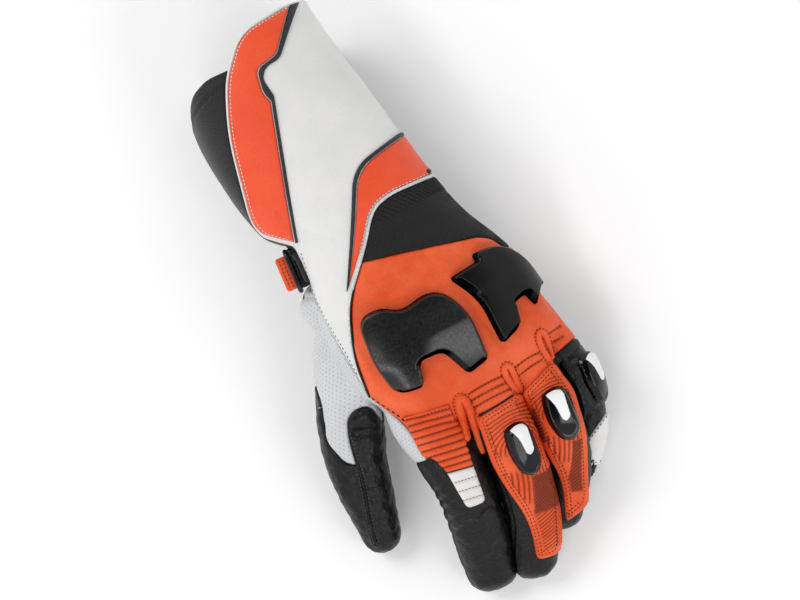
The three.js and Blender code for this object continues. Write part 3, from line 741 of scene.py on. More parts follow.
def cloth(name, main, dark, pitch, slant):
    """Woven cloth: two crossing rows of threads."""
    f = Finish(name, 0.9, {"Sheen Weight": 0.25, "Sheen Roughness": 0.5})
    turned = f.node("Mapping", {"Vector": f.spread("both"), "Rotation": (0, 0, slant)}).outputs[0]
    threads = []
    for axis in "XY":
        inputs = {"Vector": turned, "Scale": WAVE / (pitch * MM), "Distortion": 0.4, "Detail": 1.0}
        threads.append(f.node("TexWave", inputs, bands_direction=axis).outputs["Fac"])
    weave = f.math("MULTIPLY", threads[0], threads[1])
    base = f.blend(f.ramp(weave, 0.0, 0.7), colour(dark), colour(main))
    # Painted shade in creases and at rolled edges, where the mesh's shade value is set.
    base = f.blend(f.math("MULTIPLY", f.value("groove_shade"), 0.8), base, colour(dark))
    return f.finish(base, None, f.bump(weave, 0.25, 0.8))


def knitted(name, main, dark):
    """Knit in fine zigzag rows, over the ribs that the mesh has."""
    f = Finish(name, 0.92, {"Sheen Weight": 0.08, "Sheen Roughness": 0.55})
    split = f.node("SeparateXYZ", {0: f.spread("-z")})
    across = f.math("MULTIPLY", split.outputs[0], 1 / (KNIT_PITCH * MM))
    along = f.math("MULTIPLY", split.outputs[1], 1 / (KNIT_ROW * MM))
    zigzag = f.math("PINGPONG", along, 1.0)
    rows = f.math("ADD", across, f.math("MULTIPLY", zigzag, 0.35))
    stitch = f.math("SINE", f.math("MULTIPLY", rows, 2 * math.pi))
    stitch = f.math("ADD", stitch, f.math("MULTIPLY", f.noise(0.5, 2), 0.8))
    base = f.blend(f.ramp(stitch, -0.6, 1.4), colour(dark), colour(main))
    # Painted shade in the rib valleys and at the rolled edge, where the mesh's shade value is set.
    base = f.blend(f.value("groove_shade"), base, colour(dark))
    return f.finish(base, None, f.bump(stitch, 0.22, 0.7))


def moulded(name, main, rough, coat, speck=0.2, shine=0.5):
    """Moulded plastic: smooth, with small scuffs, and painted shade, black and without shine, on its edges
    and on bevels that turn from the light.
    """
    f = Finish(name, sockets={"Coat Weight": coat, "Coat Roughness": 0.08})
    groove_shade = f.value("groove_shade")
    base = f.blend(f.ramp(f.noise(9, 3), 0.35, 0.7, 0.0, speck), colour(main), colour("3a3c40"))
    # Painted shade: black, with no shine or coat, where the mesh's shade value is set.
    base = f.blend(groove_shade, base, colour("030303"))
    f.put(f.shader.inputs["Specular IOR Level"], f.ramp(groove_shade, 0.0, 1.0, shine, 0.0))
    if coat:
        f.put(f.shader.inputs["Coat Weight"], f.ramp(groove_shade, 0.0, 1.0, coat, 0.0))
    scuff = f.ramp(f.noise(1.4, 5, 0.7), 0.35, 0.75, rough * 0.75, rough * 1.5)
    return f.finish(base, scuff, f.bump(f.noise(0.6, 2), 0.02, 0.5))


def thread(name, main, dark):
    f = Finish(name, 0.6)
    inputs = {"Vector": f.place, "Scale": WAVE / (THREAD_TWIST * MM), "Distortion": 1.0}
    twist = f.node("TexWave", inputs, bands_direction="DIAGONAL").outputs["Fac"]
    return f.finish(f.blend(twist, colour(dark), colour(main)), None, f.bump(twist, 0.08, 0.6))


ORANGE = leather("orange_leather", "e5511d", "f5693a", "6e1f08", shine=0.3, tint="702a0a")
ORANGE_SMOOTH = leather("orange_gauntlet_leather", "ee4c22", "f2562d", "8e2c10", grain=0.55, depth=0.08)
WHITE = leather("white_leather", "e6e5e4", "dededd", "77777a", grain=0.9, depth=0.06, rough=(0.42, 0.55),
                fleck=0.05)
WHITE_HOLES = leather("white_perforated_leather", "d3d4d6", "cacccf", "77777a", depth=0.09, fleck=0.06,
                      holes=True)
BLACK = leather("black_leather", "0d0d0c", "151514", "030303", grain=0.9, depth=0.2, rough=(0.26, 0.44),
                shine=0.26, wrinkles=3.2)
BLACK_PALM = leather("black_palm_leather", "0f0f0e", "171615", "030303", grain=0.8, depth=0.16, shine=0.4,
                     wrinkles=1.2)
PIPING = leather("dark_piping", "1f2226", "272a2e", "0a0b0c", depth=0.06)
WHITE_PIPING = leather("white_piping", "ececec", "dcdcdc", "6d6d70", depth=0.1, fleck=0.4)
KNIT = knitted("black_knit", "1b1a19", "080807")
TEXTILE = cloth("black_textile", "222325", "0a0b0c", 0.7, slant=0.5)
GUARD = moulded("guard_plastic", "0c0c0d", 0.28, 0.0, speck=0.1)
# A darker copy of the guard plastic with less shine, for the little guard: painted shade.
GUARD_SHADED = moulded("shaded_guard_plastic", "070708", 0.2, 0.0, speck=0.05, shine=0.28)
GLOSS = moulded("slider_plastic", "030303", 0.08, 0.25, speck=0.0, shine=0.25)
INLAY_WHITE = moulded("inlay_plastic", "f0f2f1", 0.3, 0.2, speck=0.0)
EDGE_BLACK = moulded("edge_binding", "0b0b0c", 0.5, 0.0, speck=0.05, shine=0.3)
THREAD_BLACK = thread("black_thread", "161514", "050505")
THREAD_WHITE = thread("white_thread", "f2efe9", "b9b4ac")
THREAD_DARK_ORANGE = thread("rust_thread", "8a2c10", "4a1404")
THREAD_RED = thread("red_thread", "cf5138", "7f2716")
THREAD_GREY = thread("grey_thread", "6e6d6a", "2c2b29")


# The forms that everything lies on


def blended_form(parts):
    """One even skin round several closed solids, with its sharp steps smoothed."""
    remesh = {"mode": "VOXEL", "voxel_size": VOXEL, "adaptivity": 0.0}
    smooth = {"factor": 0.5, "iterations": 8}
    return modified(mesh_of(*joined(parts)), ("REMESH", remesh), ("SMOOTH", smooth))


FINGER_DEEP = 12.0  # how far inside its neighbour a finger's point may lie
FINGER_GAP = 0.4


def pushed_out(rings, tree, gap):
    """Rings with what lies inside another form moved out to its skin, and off it by a gap."""
    points = rings.reshape(-1, 3)
    for i, point in enumerate(points):
        hit, normal, _, distance = tree.find_nearest(Vector(point))
        inside = (Vector(point) - hit).dot(normal) < 0
        if distance < gap or (inside and distance < FINGER_DEEP):
            points[i] = hit + normal * gap
    return points.reshape(rings.shape)


def tree_of(points, faces):
    return BVHTree.FromPolygons(np.asarray(points).tolist(), faces)


def pressed_rings(name, **settings):
    """A finger's rings, dented by the finger beside it."""
    rings = finger_rings(name, **settings)
    if "beside" not in FINGERS[name]:
        return rings
    return pushed_out(rings, tree_of(*closed_loft(finger_rings(FINGERS[name]["beside"]))), FINGER_GAP)


# The leather between the index and the middle finger: its middles, half width and half height.
WEB = [(7.5, -45, 51, 4.5, 8), (7.5, -58, 50, 4.5, 8), (7.6, -70, 45.5, 4.5, 8), (8, -84, 38, 4.2, 8)]
WEB_STRIP = [(7.6, -68, 46, 3.6, 4), (8.2, -92, 37, 3.6, 4), (6.6, -114, 26, 3.4, 4)]


def web_rings(rows):
    """Level ovals along a row of middles between two fingers."""
    rings = []
    for x, y, z, wide, high in smooth_rows(rows, 1.0):
        across, rise = oval(wide, high, high, FINGER_SIDES // 2)
        rings.append(np.stack([x + across, np.full(len(across), y), z + rise], 1))
    return np.array(rings)


finger_solids = {name: closed_loft(pressed_rings(name)) for name in FINGERS}
whole = blended_form([closed_loft(arm_rings()), *finger_solids.values(), closed_loft(web_rings(WEB))])
whole_tree = tree_of(read(whole.vertices, "co", 3), [list(p.vertices) for p in whole.polygons])


# Panels of the shell


def shell_parts():
    """The whole form cut into its panels along their seams. Each is a solid whose cut faces are marked."""
    rest = whole
    for name in STALLS:
        room = closed_loft(finger_rings(name, STALL_ROOM, STALL_ROW))
        rest = carve(rest, mesh_of(*room, flag=1), "DIFFERENCE")
    parts = {}
    for name, (seam, corners) in PANELS.items():
        line = outline(corners)
        parts[name] = carve(rest, cutter(line, SEAMS[seam]), "INTERSECT")
        rest = carve(rest, cutter(widened(line, SEAM_GAP), SEAMS[seam], SEAM_GAP), "DIFFERENCE")
    low, high = ROOM
    gauntlet = carve(rest, block((low[0], WRIST_SEAM, low[2]), high), "INTERSECT")
    parts["gauntlet_palm"] = carve(gauntlet, cutter(outline(FLAP), (low[2], 0, 0)), "INTERSECT")
    hand = block(low, (high[0], WRIST_SEAM - WRIST_GAP, high[2]))
    parts["palm"] = carve(rest, hand, "INTERSECT")
    return parts


shell = shell_parts()

# Creases that are sewn into the back of the hand, between the fingers' ridges: plan points from left to
# right.
BACK_CREASES = [
    [(13.4, -56.4), (23, -55), (31.6, -54.6)], [(13.2, -60), (23, -58.8), (32.4, -58.4)],
    [(13, -63.6), (23, -62.4), (33.4, -62)],
    [(39.6, -53.2), (47, -51.6), (53.4, -51.2)], [(39.8, -57.8), (47, -56), (53.4, -55)],
    [(61.2, -44.6), (68.6, -43.4)], [(61.2, -49.4), (67.6, -48.6)],
]
MOUTH_CREASE = [(-38, 131.5), (-50, 128.5), (-60, 122)]
THUMB_SEAM = [(-50.3, -50), (-51.4, -62), (-52.6, -74), (-55.5, -88), (-58.2, -100), (-59, -108)]
TONGUE_SEAM = [(-36, 40), (-37.9, 24), (-38, 12), (-36.8, 0), (-35.2, -12), (-33.9, -25)]
BACK_FOLDS = [
    (-8, 15, 20, 16.5, 3.2, -1.5), (18, 12.5, 34, 8.5, 3.5, 1.1), (-18, 8, 8, 11, 3.0, 1.0),
    (-4, 6, 22, 9, 3.4, -0.8), (-30, -12, -27, -38, 2.4, 0.7), (44, 12, 60, 8, 2.6, 0.8),
    (31, -12, 38, -40, 2.4, -0.8), (-2, -40, 6, -52, 4.0, 0.9), (60, -33, 66, -38, 3.0, 0.8),
    (-24, -50, -10, -54, 3.0, 0.7),
]
GUSSET_FOLDS = [
    (-49, 15, -46, 8, 4.2, 2.0), (-47, 21, -41, 19, 1.8, -1.4), (-50, 2, -42, 1, 1.8, -1.3),
    (-49, -9, -42, -10, 3.0, 0.7), (-54, -8, -44, -14, 2.0, 0.4), (-55, -22, -42, -24, 2.4, -0.4),
    (-58, -40, -50, -38, 2.2, 0.4), (-30, -60, -26, -74, 1.4, 0.35),
]
THUMB_FOLDS = [
    (-46, -50, -37, -53, 1.3, -0.8), (-45, -54, -35, -58, 1.5, -0.7), (-46, -46, -38, -47, 1.6, 0.5),
    (-47, -58, -38, -62, 1.8, 0.45), (-60, -64, -56, -82, 1.8, 0.4), (-56, -70, -60, -92, 1.4, -0.4),
    (-50, -88, -44, -94, 2.2, -0.35),
]
KNIT_COARSE_PITCH = 2.3
KNIT_EDGE = (38.5, 40.0)  # y at x = 0 where the knit's fine ribs pass into the coarse ones

# Each panel's cuts of its faces and of its border's faces, the width, drop and painted shade of its rolled
# edge, its folds, its swells, its material and its slot.
PANEL_LOOKS = {
    "hand_back": (1, 0, (2.0, 1.1, 0.6), BACK_FOLDS, [(16, 0.35, 1), (5, 0.12, 2)], ORANGE, "orange_leather"),
    "gauntlet_back": (0, 1, (1.6, 0.6, 0.35), [], [(34, 0.5, 3), (9, 0.1, 4)], WHITE, "white_leather"),
    "wrist_knit": (1, 0, (1.6, 0.8, 0.6), [], [(14, 0.5, 5)], KNIT, "knit"),
    "thumb_gusset": (0, 1, (1.8, 0.8, 0.3), GUSSET_FOLDS, [(10, 0.35, 6)], WHITE_HOLES, "white_leather"),
    "gauntlet_palm": (0, 1, (1.6, 0.6, 0.6), [], [(24, 0.6, 7)], TEXTILE, "textile"),
    "palm": (0, 1, (1.8, 0.8, 0.6), [], [(12, 0.4, 8), (4, 0.12, 9)], BLACK_PALM, "black_leather"),
    "thumb_stall": (1, 0, (1.6, 0.7, 0.6), THUMB_FOLDS, [(11, 0.45, 10), (4.6, 0.4, 11), (2.2, 0.12, 12)],
                    BLACK, "black_leather"),
}


def panel(name):
    """A panel of the shell, shaped by its row in the table."""
    cuts, rim_cuts, roll, folds, swells, *_ = PANEL_LOOKS[name]
    skin = Skin(shell[name], cuts=cuts, rim_cuts=rim_cuts)
    skin.roll_edge(*roll)
    skin.folds(folds)
    skin.swell(swells)
    return skin


def knit_ribs(knit):
    """Fine ribs along the hand, and coarse slanted ones beside the gauntlet, with painted shade in their
    valleys.
    """
    x, y, z = knit.points.T
    coarse = smoothstep(y - 0.06 * x, *KNIT_EDGE)
    across = x - z
    fine_ribs = np.cos(2 * np.pi * (across + 0.12 * y) / KNIT_PITCH)
    coarse_ribs = np.cos(2 * np.pi * (0.62 * across + 0.78 * y) / KNIT_COARSE_PITCH)
    knit.height += fine_ribs * 0.1 * (1 - coarse) + coarse_ribs * 0.42 * coarse
    fine_shade = smoothstep(-fine_ribs, 0.0, 1.0) * 0.35 * (1 - coarse)
    coarse_shade = smoothstep(-coarse_ribs, -0.2, 1.0) * 0.8 * coarse
    knit.groove_shade = np.maximum(knit.groove_shade, fine_shade + coarse_shade)


panels = {name: panel(name) for name in PANEL_LOOKS}
knit_ribs(panels["wrist_knit"])
panels["hand_back"].crease([smooth_line(line) for line in BACK_CREASES], 0.6, 0.65, lip=0.25, groove_shade=0.7)
panels["gauntlet_palm"].crease([MOUTH_CREASE], 0.5, 0.8, lip=0.2)
panels["thumb_stall"].crease([smooth_line(THUMB_SEAM)], 0.7, 0.8, lip=0.55, groove_shade=0.5)
for name, skin in panels.items():
    *_, look, slot_name = PANEL_LOOKS[name]
    piece(f"{name}_panel", skin.solid(WALL), look, slot_name, name)


# Finger leather

# Seams along a finger: the ring's angle where they run, in degrees from +X towards the back.
STALL_SEAMS = {"index": (168, 20), "middle": (160, 15), "ring": (165, 12), "little": (150, 8)}
STALL_FOLDS = {
    "index": [
        (-23, -96, -14, -93, 1.2, -0.5), (-23, -101, -15, -99, 1.2, -0.6), (-24, -106, -15, -104, 1.3, -0.6),
        (-24, -112, -14, -111, 1.2, -0.5), (-24, -119, -15, -117, 1.3, -0.45),
        (-14, -113, 2, -112, 1.5, -0.95), (-10, -117, 2, -116, 1.6, 0.35), (-6, -119, -8, -134, 2.0, 0.6)],
    "middle": [(2, -96, 10, -98, 1.6, -0.4), (2, -108, 10, -110, 1.6, -0.4), (4, -122, 13, -124, 1.6, -0.35)],
    "ring": [(40, -136, 48, -134, 1.6, -0.3)],
    "little": [
        (62, -54, 76, -57, 1.8, -0.5), (64, -60, 77, -62, 1.6, 0.35), (63, -90, 75, -88, 1.6, -0.5),
        (62, -68, 62, -84, 1.8, 0.3)],
}
STALL_LEAD = 3.0  # how far a finger's leather reaches back under the hand's
STALL_SWELLS = ((10, 0.4, 20), (4.6, 0.32, 40), (2.2, 0.1, 50))
FAR = 9.0


def stall(name):
    """A finger's own leather, from under the hand's leather to the tip, with a seam along each side."""
    rings = pressed_rings(name, first=STALL_ROW, lead=STALL_LEAD)
    count, sides = rings.shape[:2]
    points = np.vstack([rings.reshape(-1, 3), rings[-1].mean(0)[None]])
    faces = loft_faces(count, sides)
    pole = len(points) - 1
    last = (count - 1) * sides
    faces += [[last + k, last + (k + 1) % sides, pole] for k in range(sides)]
    skin = Skin(mesh_of(points, faces), fair=1)
    skin.height -= STALL_ROOM * (1 - smoothstep(skin.depth, 0.5, 5.0))
    angle = np.append(np.tile(np.arange(sides) * 360 / sides, count), 0)[:len(skin.points)]
    across = np.array(FINGERS[name]["rows"])[:, 3].mean()
    for turn in STALL_SEAMS[name]:
        d = np.abs((angle - turn + 180) % 360 - 180) * math.pi / 180 * across
        d = np.where(skin.depth > STALL_LEAD, d, FAR)
        skin.height += 0.5 * bell(d - 1.5, 0.8) - 0.55 * bell(d, 0.7)
        # Painted shade along the seam.
        skin.groove_shade = np.maximum(skin.groove_shade, 0.8 * bell(d, 0.6))
    skin.folds(STALL_FOLDS[name])
    skin.swell([(size, height, seed + len(name)) for size, height, seed in STALL_SWELLS])
    return skin


stalls = {name: stall(name) for name in STALLS}
for name, skin in stalls.items():
    piece(f"{name}_finger_leather", skin.solid(WALL), BLACK, "black_leather", f"{name}_stall")
piece("finger_web_leather", clean(mesh_of(*closed_loft(web_rings(WEB_STRIP)))), BLACK, "black_leather")


# Pieces laid on the shell


def laid_skin(solid, corners, seam, **cuts):
    """The skin of what lies under an outline, down to a seam's plane."""
    return Skin(carve(solid, cutter(outline(corners), SEAMS[seam]), "INTERSECT"), **cuts)


GAUNTLET_SWELL = (34, 0.5, 3)  # that of the white panel under them, so that they keep off it evenly


def gauntlet_trim():
    """The two orange fields on the gauntlet, and the dark piping beside each."""
    made = {}
    for name, corners in FIELDS.items():
        skin = laid_skin(shell["gauntlet_back"], corners, "gauntlet", rim_cuts=1)
        skin.rise(0.3, 1.0, 1.6, 0.4)
        skin.swell([GAUNTLET_SWELL, (9, 0.12, 12)])
        piece(f"{name}_leather", skin.solid(0.8), ORANGE_SMOOTH, "orange_leather", name)
        made[name] = skin
    for name, corners in BANDS.items():
        skin = laid_skin(shell["gauntlet_back"], corners, "gauntlet", cuts=1)
        skin.rise(0.4, 1.5, 1.1, 0.5)
        skin.swell([GAUNTLET_SWELL])
        piece(f"{name}_strip", skin.solid(0.8), PIPING, "dark_piping", name)
    return made


# The knuckle guards: each one's height, its material, and a low dome by its x, y, half sizes and height.
# Below a crease across it the big guard's two lobes turn away.
GUARD_DOMES = {
    "knuckle_guard_index": (6.0, GUARD, (0, -10, 24, 12, 0.5)),
    # The little guard has the shaded copy of the guard plastic: painted shade.
    "knuckle_guard_little": (4.4, GUARD_SHADED, (50, -6, 16, 14, 1.0)),
}
GUARD_CREASE = ((-20, -23.5), (26, -19.5))
RIGHT_LOBE_FALL = 0.2
LEFT_LOBE_RIDGE = -11.0  # x of the ridge along the left lobe
LEFT_LOBE_ROUND = 0.018
GUARD_EDGE = 1.0
GUARD_ROUND = 1.5
GUARD_BEVEL = 3.0  # width of the flat bevel at the edges towards the fingers, painted black as shade
GUARD_LEAN = 0.55  # how far a guard rises straight up from the hand, and not along its skin's own directions


def leaning(normals, out, lean):
    """Directions between the skin's own and a common one."""
    direction = normals * (1 - lean) + out * lean
    return direction / np.linalg.norm(direction, axis=1)[:, None]


def lobes(skin):
    """How far the big guard's lobes lie below its dome."""
    x, y = skin.points[:, 0], skin.points[:, 1]
    (x0, y0), (x1, y1) = GUARD_CREASE
    below = np.maximum(y0 + (x - x0) * (y1 - y0) / (x1 - x0) - y, 0)
    soft = below ** 2 / (below + 2.5)
    right = RIGHT_LOBE_FALL * smoothstep(x, 0, 10) * soft
    side = LEFT_LOBE_ROUND * np.maximum(LEFT_LOBE_RIDGE - x, 0) ** 2
    return right + side * smoothstep(below, 1, 12)


def knuckle_guard(name):
    """A moulded guard on the back of the hand, steep at its edge, with a bevel towards the fingers."""
    seam, corners = GUARDS[name]
    high, look, (x, y, wide, long, dome) = GUARD_DOMES[name]
    skin = laid_skin(shell["hand_back"], corners, seam, cuts=2, fair=6)
    axis = skin.normals.mean(0) / np.linalg.norm(skin.normals.mean(0))
    share = ((skin.points[:, 0] - x) / wide) ** 2 + ((skin.points[:, 1] - y) / long) ** 2
    top = high + dome * np.exp(-share)
    if name == "knuckle_guard_index":
        top -= lobes(skin)
    facing = smoothstep(-skin.outward[:, 1], 0.25, 0.6)
    flat = np.clip(skin.depth / GUARD_BEVEL, 0, 1)
    side = rounded(skin.depth, GUARD_ROUND) * (1 - facing) + flat * facing
    skin.height += GUARD_EDGE + (top - GUARD_EDGE) * side
    # The bevel towards the fingers and the very edge get painted shade: black and without shine.
    skin.groove_shade = facing * (1 - smoothstep(skin.depth, GUARD_BEVEL - 0.4, GUARD_BEVEL))
    skin.groove_shade = np.maximum(skin.groove_shade, 1 - smoothstep(skin.depth, 0.2, 0.7))
    direction = leaning(skin.normals, axis, GUARD_LEAN)
    piece(f"{name}_shell", skin.solid(0.6, direction), look, "guard", name)


# A finger slider and its white inlay, seen square to the finger's back: x across, y along, towards the
# knuckle. The sliders' places along their fingers from their row, and the heights of their edge and top.
SLIDER = [
    (-5.6, 14, 4), (2, 15.6, 5), (7, 12, 5), (7.4, -9, 6), (2.4, -14.2, 5), (-4.4, -12, 5), (-7.4, 1, 6)]
INLAY = [
    (-4, 14.3, 1), (2, 15.4, 2.5), (5, 12.6, 2), (4, 0, 1.4), (1.2, -1.8, 1), (-0.6, 0, 1), (-1.4, 8.4, 3)]
SLIDERS = {"middle": (5.7, 2.4, 6.6), "ring": (4.6, 2.4, 6.6), "little": (1.5, 0.6, 3.6)}
SLIDER_ROW = 3
SLIDER_HIGH = 60.0
SLIDER_LEAN = 0.6
SLIDER_WALL = 0.4  # width of the steep side below the chamfer
SLIDER_CHAMFER = 2.6
SLIDER_FALL = 1.4  # how far the slider is lower at its end towards the fingertip


def back_frame(name, along):
    """The frame of a finger's back at the slider's row: across, along to the hand, and out of the back."""
    rows = FINGERS[name]["rows"]
    line = [Vector(row[:3]) for row in rows]
    towards = (line[SLIDER_ROW - 1] - line[SLIDER_ROW + 1]).normalized()
    turn = math.radians(rows[SLIDER_ROW][5])
    across = towards.cross(Vector((math.sin(turn), 0, math.cos(turn)))).normalized()
    out = across.cross(towards)
    place = line[SLIDER_ROW] + towards * along
    return Matrix.Translation(place) @ Matrix((across, towards, out)).transposed().to_4x4()


def in_frame(points, matrix):
    """Points of the hand's frame in a finger's."""
    return (points - np.array(matrix.translation)) @ np.array(matrix.to_3x3())


def cutter_on(matrix, corners, low):
    """A cutter square to a finger's back, from a height above its middle line."""
    line = outline(corners)
    rings = np.stack([np.column_stack([line, np.full(len(line), z)]) for z in (low, SLIDER_HIGH)])
    tool = mesh_of(*closed_loft(rings), flag=1)
    tool.transform(matrix)
    return tool


def slider(name):
    """A finger's protector, with a steep side, a chamfer and a flat top, and its white inlay."""
    along, edge, top = SLIDERS[name]
    matrix = back_frame(name, along)
    base = carve(mesh_of(*finger_solids[name]), cutter_on(matrix, SLIDER, 0.0), "INTERSECT")
    skin = Skin(base, cuts=2, fair=8)
    direction = leaning(skin.normals, np.array(matrix.col[2][:3]), SLIDER_LEAN)
    local = in_frame(skin.points, matrix)
    slope = SLIDER_FALL * smoothstep(-local[:, 1], -2, 15) * smoothstep(skin.depth, 0, 4)
    side = edge + (top - edge) * 0.5
    wall = edge + (side - edge) * np.clip(skin.depth / SLIDER_WALL, 0, 1)
    chamfer = (top - side) * smoothstep(skin.depth, 0.1, SLIDER_CHAMFER)
    skin.height += wall + chamfer - slope
    body = skin.solid(0.2, direction, thin=False)
    inlay_base = mesh_of(read(body.vertices, "co", 3), [list(p.vertices) for p in body.polygons])
    piece(f"{name}_slider_body", body, GLOSS, "guard", f"{name}_slider")
    low = FINGERS[name]["rows"][SLIDER_ROW][4] + edge + 0.4
    inlay = Skin(carve(inlay_base, cutter_on(matrix, INLAY, low), "INTERSECT"), cuts=1, fair=1)
    inlay.rise(0.15, 0.5, 0.5, 0.15)
    piece(f"{name}_slider_plate", inlay.solid(0.3), INLAY_WHITE, "inlay", f"{name}_slider_inlay")


def tube(points, radius, sides=10, closed=False):
    """A round strand along points, with rounded ends when it is open."""
    points = np.asarray(points, float)
    count = len(points)
    if closed:
        ahead = np.roll(points, -1, axis=0) - np.roll(points, 1, axis=0)
        size = np.ones(count)
    else:
        ahead = np.gradient(points, axis=0)
        place = np.concatenate([[0], np.cumsum(np.linalg.norm(np.diff(points, axis=0), axis=1))])
        near = np.minimum(place, place[-1] - place) / radius
        size = np.where(near > 1, 1, np.sqrt(np.clip(near * (2 - near), 0.04, 1)))
    ahead /= np.linalg.norm(ahead, axis=1)[:, None] + TINY
    across = np.cross(ahead, np.array([0, 0, 1.0]))
    across /= np.linalg.norm(across, axis=1)[:, None] + TINY
    up = np.cross(across, ahead)
    turn = (2 * np.pi * np.arange(sides) / sides)[None, :, None]
    offsets = np.cos(turn) * across[:, None] + np.sin(turn) * up[:, None]
    rings = points[:, None] + offsets * radius * size[:, None, None]
    if not closed:
        return clean(mesh_of(*closed_loft(rings)))
    faces = loft_faces(count + 1, sides)
    return clean(mesh_of(rings.reshape(-1, 3), [[k % (count * sides) for k in face] for face in faces]))


# Fingers' covers

# How far the finger bends off its cover's straight line, then along it from the slider: the end of the
# lengthwise ribs, where the darker patch starts across and ends along, and where the slanted ribs of the tip
# start and end.
COVER_LINES = {
    "middle": (0.0035, -29.0, (0.8, 1.8), -35.0, -35.0, -56.0),
    "ring": (0.0075, -25.0, (2.2, 3.2), -41.0, -80.0, -90.0),
}


ARCH_END = (23.5, 25.5)  # the upper ribs are arches round the slider, up to this far
RIB_START = -10.5
PATCH_START = -14.0
PATCH_TINT = 0.8


def band_share(value, low, high):
    """1 between two values, and 0 beyond them."""
    return smoothstep(value, low - 1, low + 1) * (1 - smoothstep(value, high - 1, high + 1))


def cover(name):
    """The ribbed orange leather on a finger's back, with its darker hatched patches."""
    skin = laid_skin(mesh_of(*finger_solids[name]), COVERS[name], name, cuts=2, fair=4)
    u, v, _ = in_frame(skin.points, back_frame(name, SLIDERS[name][0])).T
    skin.rise(0.7, 2.0, 1.5, 0.45)
    inner = smoothstep(skin.depth, 3.4, 4.6)
    bend, rib_end, patch_from, patch_end, tip_start, tip_end = COVER_LINES[name]
    beside = u + np.where(v < 0, bend * v * v - 0.02 * v, 0)
    slant = v + 0.25 * beside
    arch = np.sqrt(u ** 2 + (v - 1) ** 2)
    upper = smoothstep(v, -1.0, 2.0) * (1 - smoothstep(arch, *ARCH_END))
    patch = smoothstep(beside, *patch_from) * band_share(slant, patch_end, PATCH_START)
    lower = band_share(slant, rib_end, RIB_START) * (1 - patch)
    tip = band_share(slant, tip_end, tip_start)
    side_patch = smoothstep(-u, 8.2, 9.4) * band_share(v, -12.0, 8.0) * (name == "ring")
    hatched = np.maximum(patch, side_patch)
    ribs = [(upper * (1 - side_patch), arch, 1.7, 0.32), (lower, beside, 2.2, 0.42),
            (tip, 0.97 * v - 0.23 * u, 1.9, 0.34), (hatched, 0.9 * v - 0.43 * u, 1.55, 0.3)]
    for share, place, pitch, high in ribs:
        share = share * inner
        wave = np.cos(2 * np.pi * place / pitch)
        skin.height += share * wave * high
        # Painted shade in the ribs' valleys.
        skin.groove_shade = np.maximum(skin.groove_shade, share * smoothstep(-wave, -0.1, 1.0) * 0.75)
    skin.tint = PATCH_TINT * inner * hatched
    skin.swell([(12, 0.25, 30)])
    piece(f"{name}_cover_leather", skin.solid(0.3), ORANGE, "orange_leather", f"{name}_cover")
    return skin


# The accordion on the index finger: where its lines cross the finger's middle, and how they slope.
ACCORDION_LINES = (-57.5, -60.8, -64.2, -67.8, -71.4, -75, -78.6, -82.2, -85.6)
ACCORDION_SLOPE = -0.11
ACCORDION_MIDDLE = -8.0
TIP_LINES = (-94.5, -99.5, -104.5)


def across_index(y, x0, x1):
    """A plan line across the index finger."""
    return [(x, y + ACCORDION_SLOPE * (x - ACCORDION_MIDDLE)) for x in np.linspace(x0, x1, 12)]


def index_pieces():
    """The accordion and the white end on the index finger, and the white patch on the little finger."""
    skin = laid_skin(whole, ACCORDION, "stretch", cuts=1)
    skin.rise(0.4, 1.5, 1.4, 0.4)
    skin.crease([across_index(y, -23, 4.5) for y in ACCORDION_LINES], 0.75, 0.62, lip=0.2)
    skin.swell([(7, 0.18, 31)])
    piece("index_accordion_leather", skin.solid(0.6), ORANGE, "orange_leather", "index_stretch")
    tip = laid_skin(mesh_of(*finger_solids["index"]), WHITE_TIP, "stretch", cuts=1)
    tip.rise(0.5, 1.5, 1.2, 0.35)
    tip.crease([across_index(y, -11, 2) for y in TIP_LINES], 0.35, 0.7, groove_shade=0.25)
    tip.swell([(6, 0.15, 32)])
    piece("index_tip_leather", tip.solid(0.4), WHITE, "white_leather", "index_stretch_tip")
    patch = laid_skin(mesh_of(*finger_solids["little"]), LITTLE_PATCH, "little", cuts=1)
    patch.rise(0.5, 1.3, 1.2, 0.35)
    patch.swell([(6, 0.15, 33)])
    piece("little_patch_leather", patch.solid(0.4), WHITE, "white_leather", "little_patch")
    return skin, tip, patch


# Corded ridges between the fingers: the strand's radius, and the plan points of a strand that goes up and
# back down.
LOOPS = {
    "stretch_loop_index": (2.2, [
        (3.4, -78), (4.6, -71), (5.8, -64), (6.3, -60), (6.9, -57.6), (8.3, -56.4), (9.8, -57.6),
        (10.4, -61), (10.3, -68), (9.4, -78), (8.3, -87)]),
    "stretch_loop_middle": (1.65, [
        (36.4, -68), (35, -62), (34.1, -57), (33.9, -53), (34.6, -51.2), (35.8, -50.6), (37, -51.6),
        (37.4, -54.5), (37.5, -60), (38, -66)]),
    "stretch_loop_ring": (1.5, [
        (57, -57.5), (56, -52), (55.8, -47), (56.4, -43.4), (57.8, -41.8), (59.2, -43), (59.6, -46.5),
        (59.2, -52), (58.4, -57)]),
}
LOOP_STEP = 0.6
LOOP_LIFT = 0.5


def relaxed(values, times):
    """Points, or one number of each, drawn towards their neighbours. The two ends stay."""
    for _ in range(times):
        values[1:-1] = (values[:-2] + 2 * values[1:-1] + values[2:]) / 4
    return values


def ridges():
    """The three corded loops. Each strand bridges the gap between its fingers."""
    for name, (radius, plan) in LOOPS.items():
        points = []
        for x, y in smooth_line(plan, LOOP_STEP):
            hit = whole_tree.ray_cast(Vector((x, y, HIGH)), DOWN)[0]
            if hit is not None:
                points.append((x, y, hit[2] + LOOP_LIFT))
        points = np.array(points)
        relaxed(points[:, 2], 12)
        piece(f"{name}_cords", tube(points, radius, sides=16), ORANGE, "orange_leather", name)


# Sewing

# A stitch's rings by their place along it, their size and how far they are lifted, as shares of its length
# and radius, and how far its two ends go down into the leather.
STITCH_RINGS = ((-0.62, 0.75, -0.1), (0.0, 1.0, 0.35), (0.62, 0.75, -0.1))
STITCH_END = -0.8
STITCH_SIDES = 5

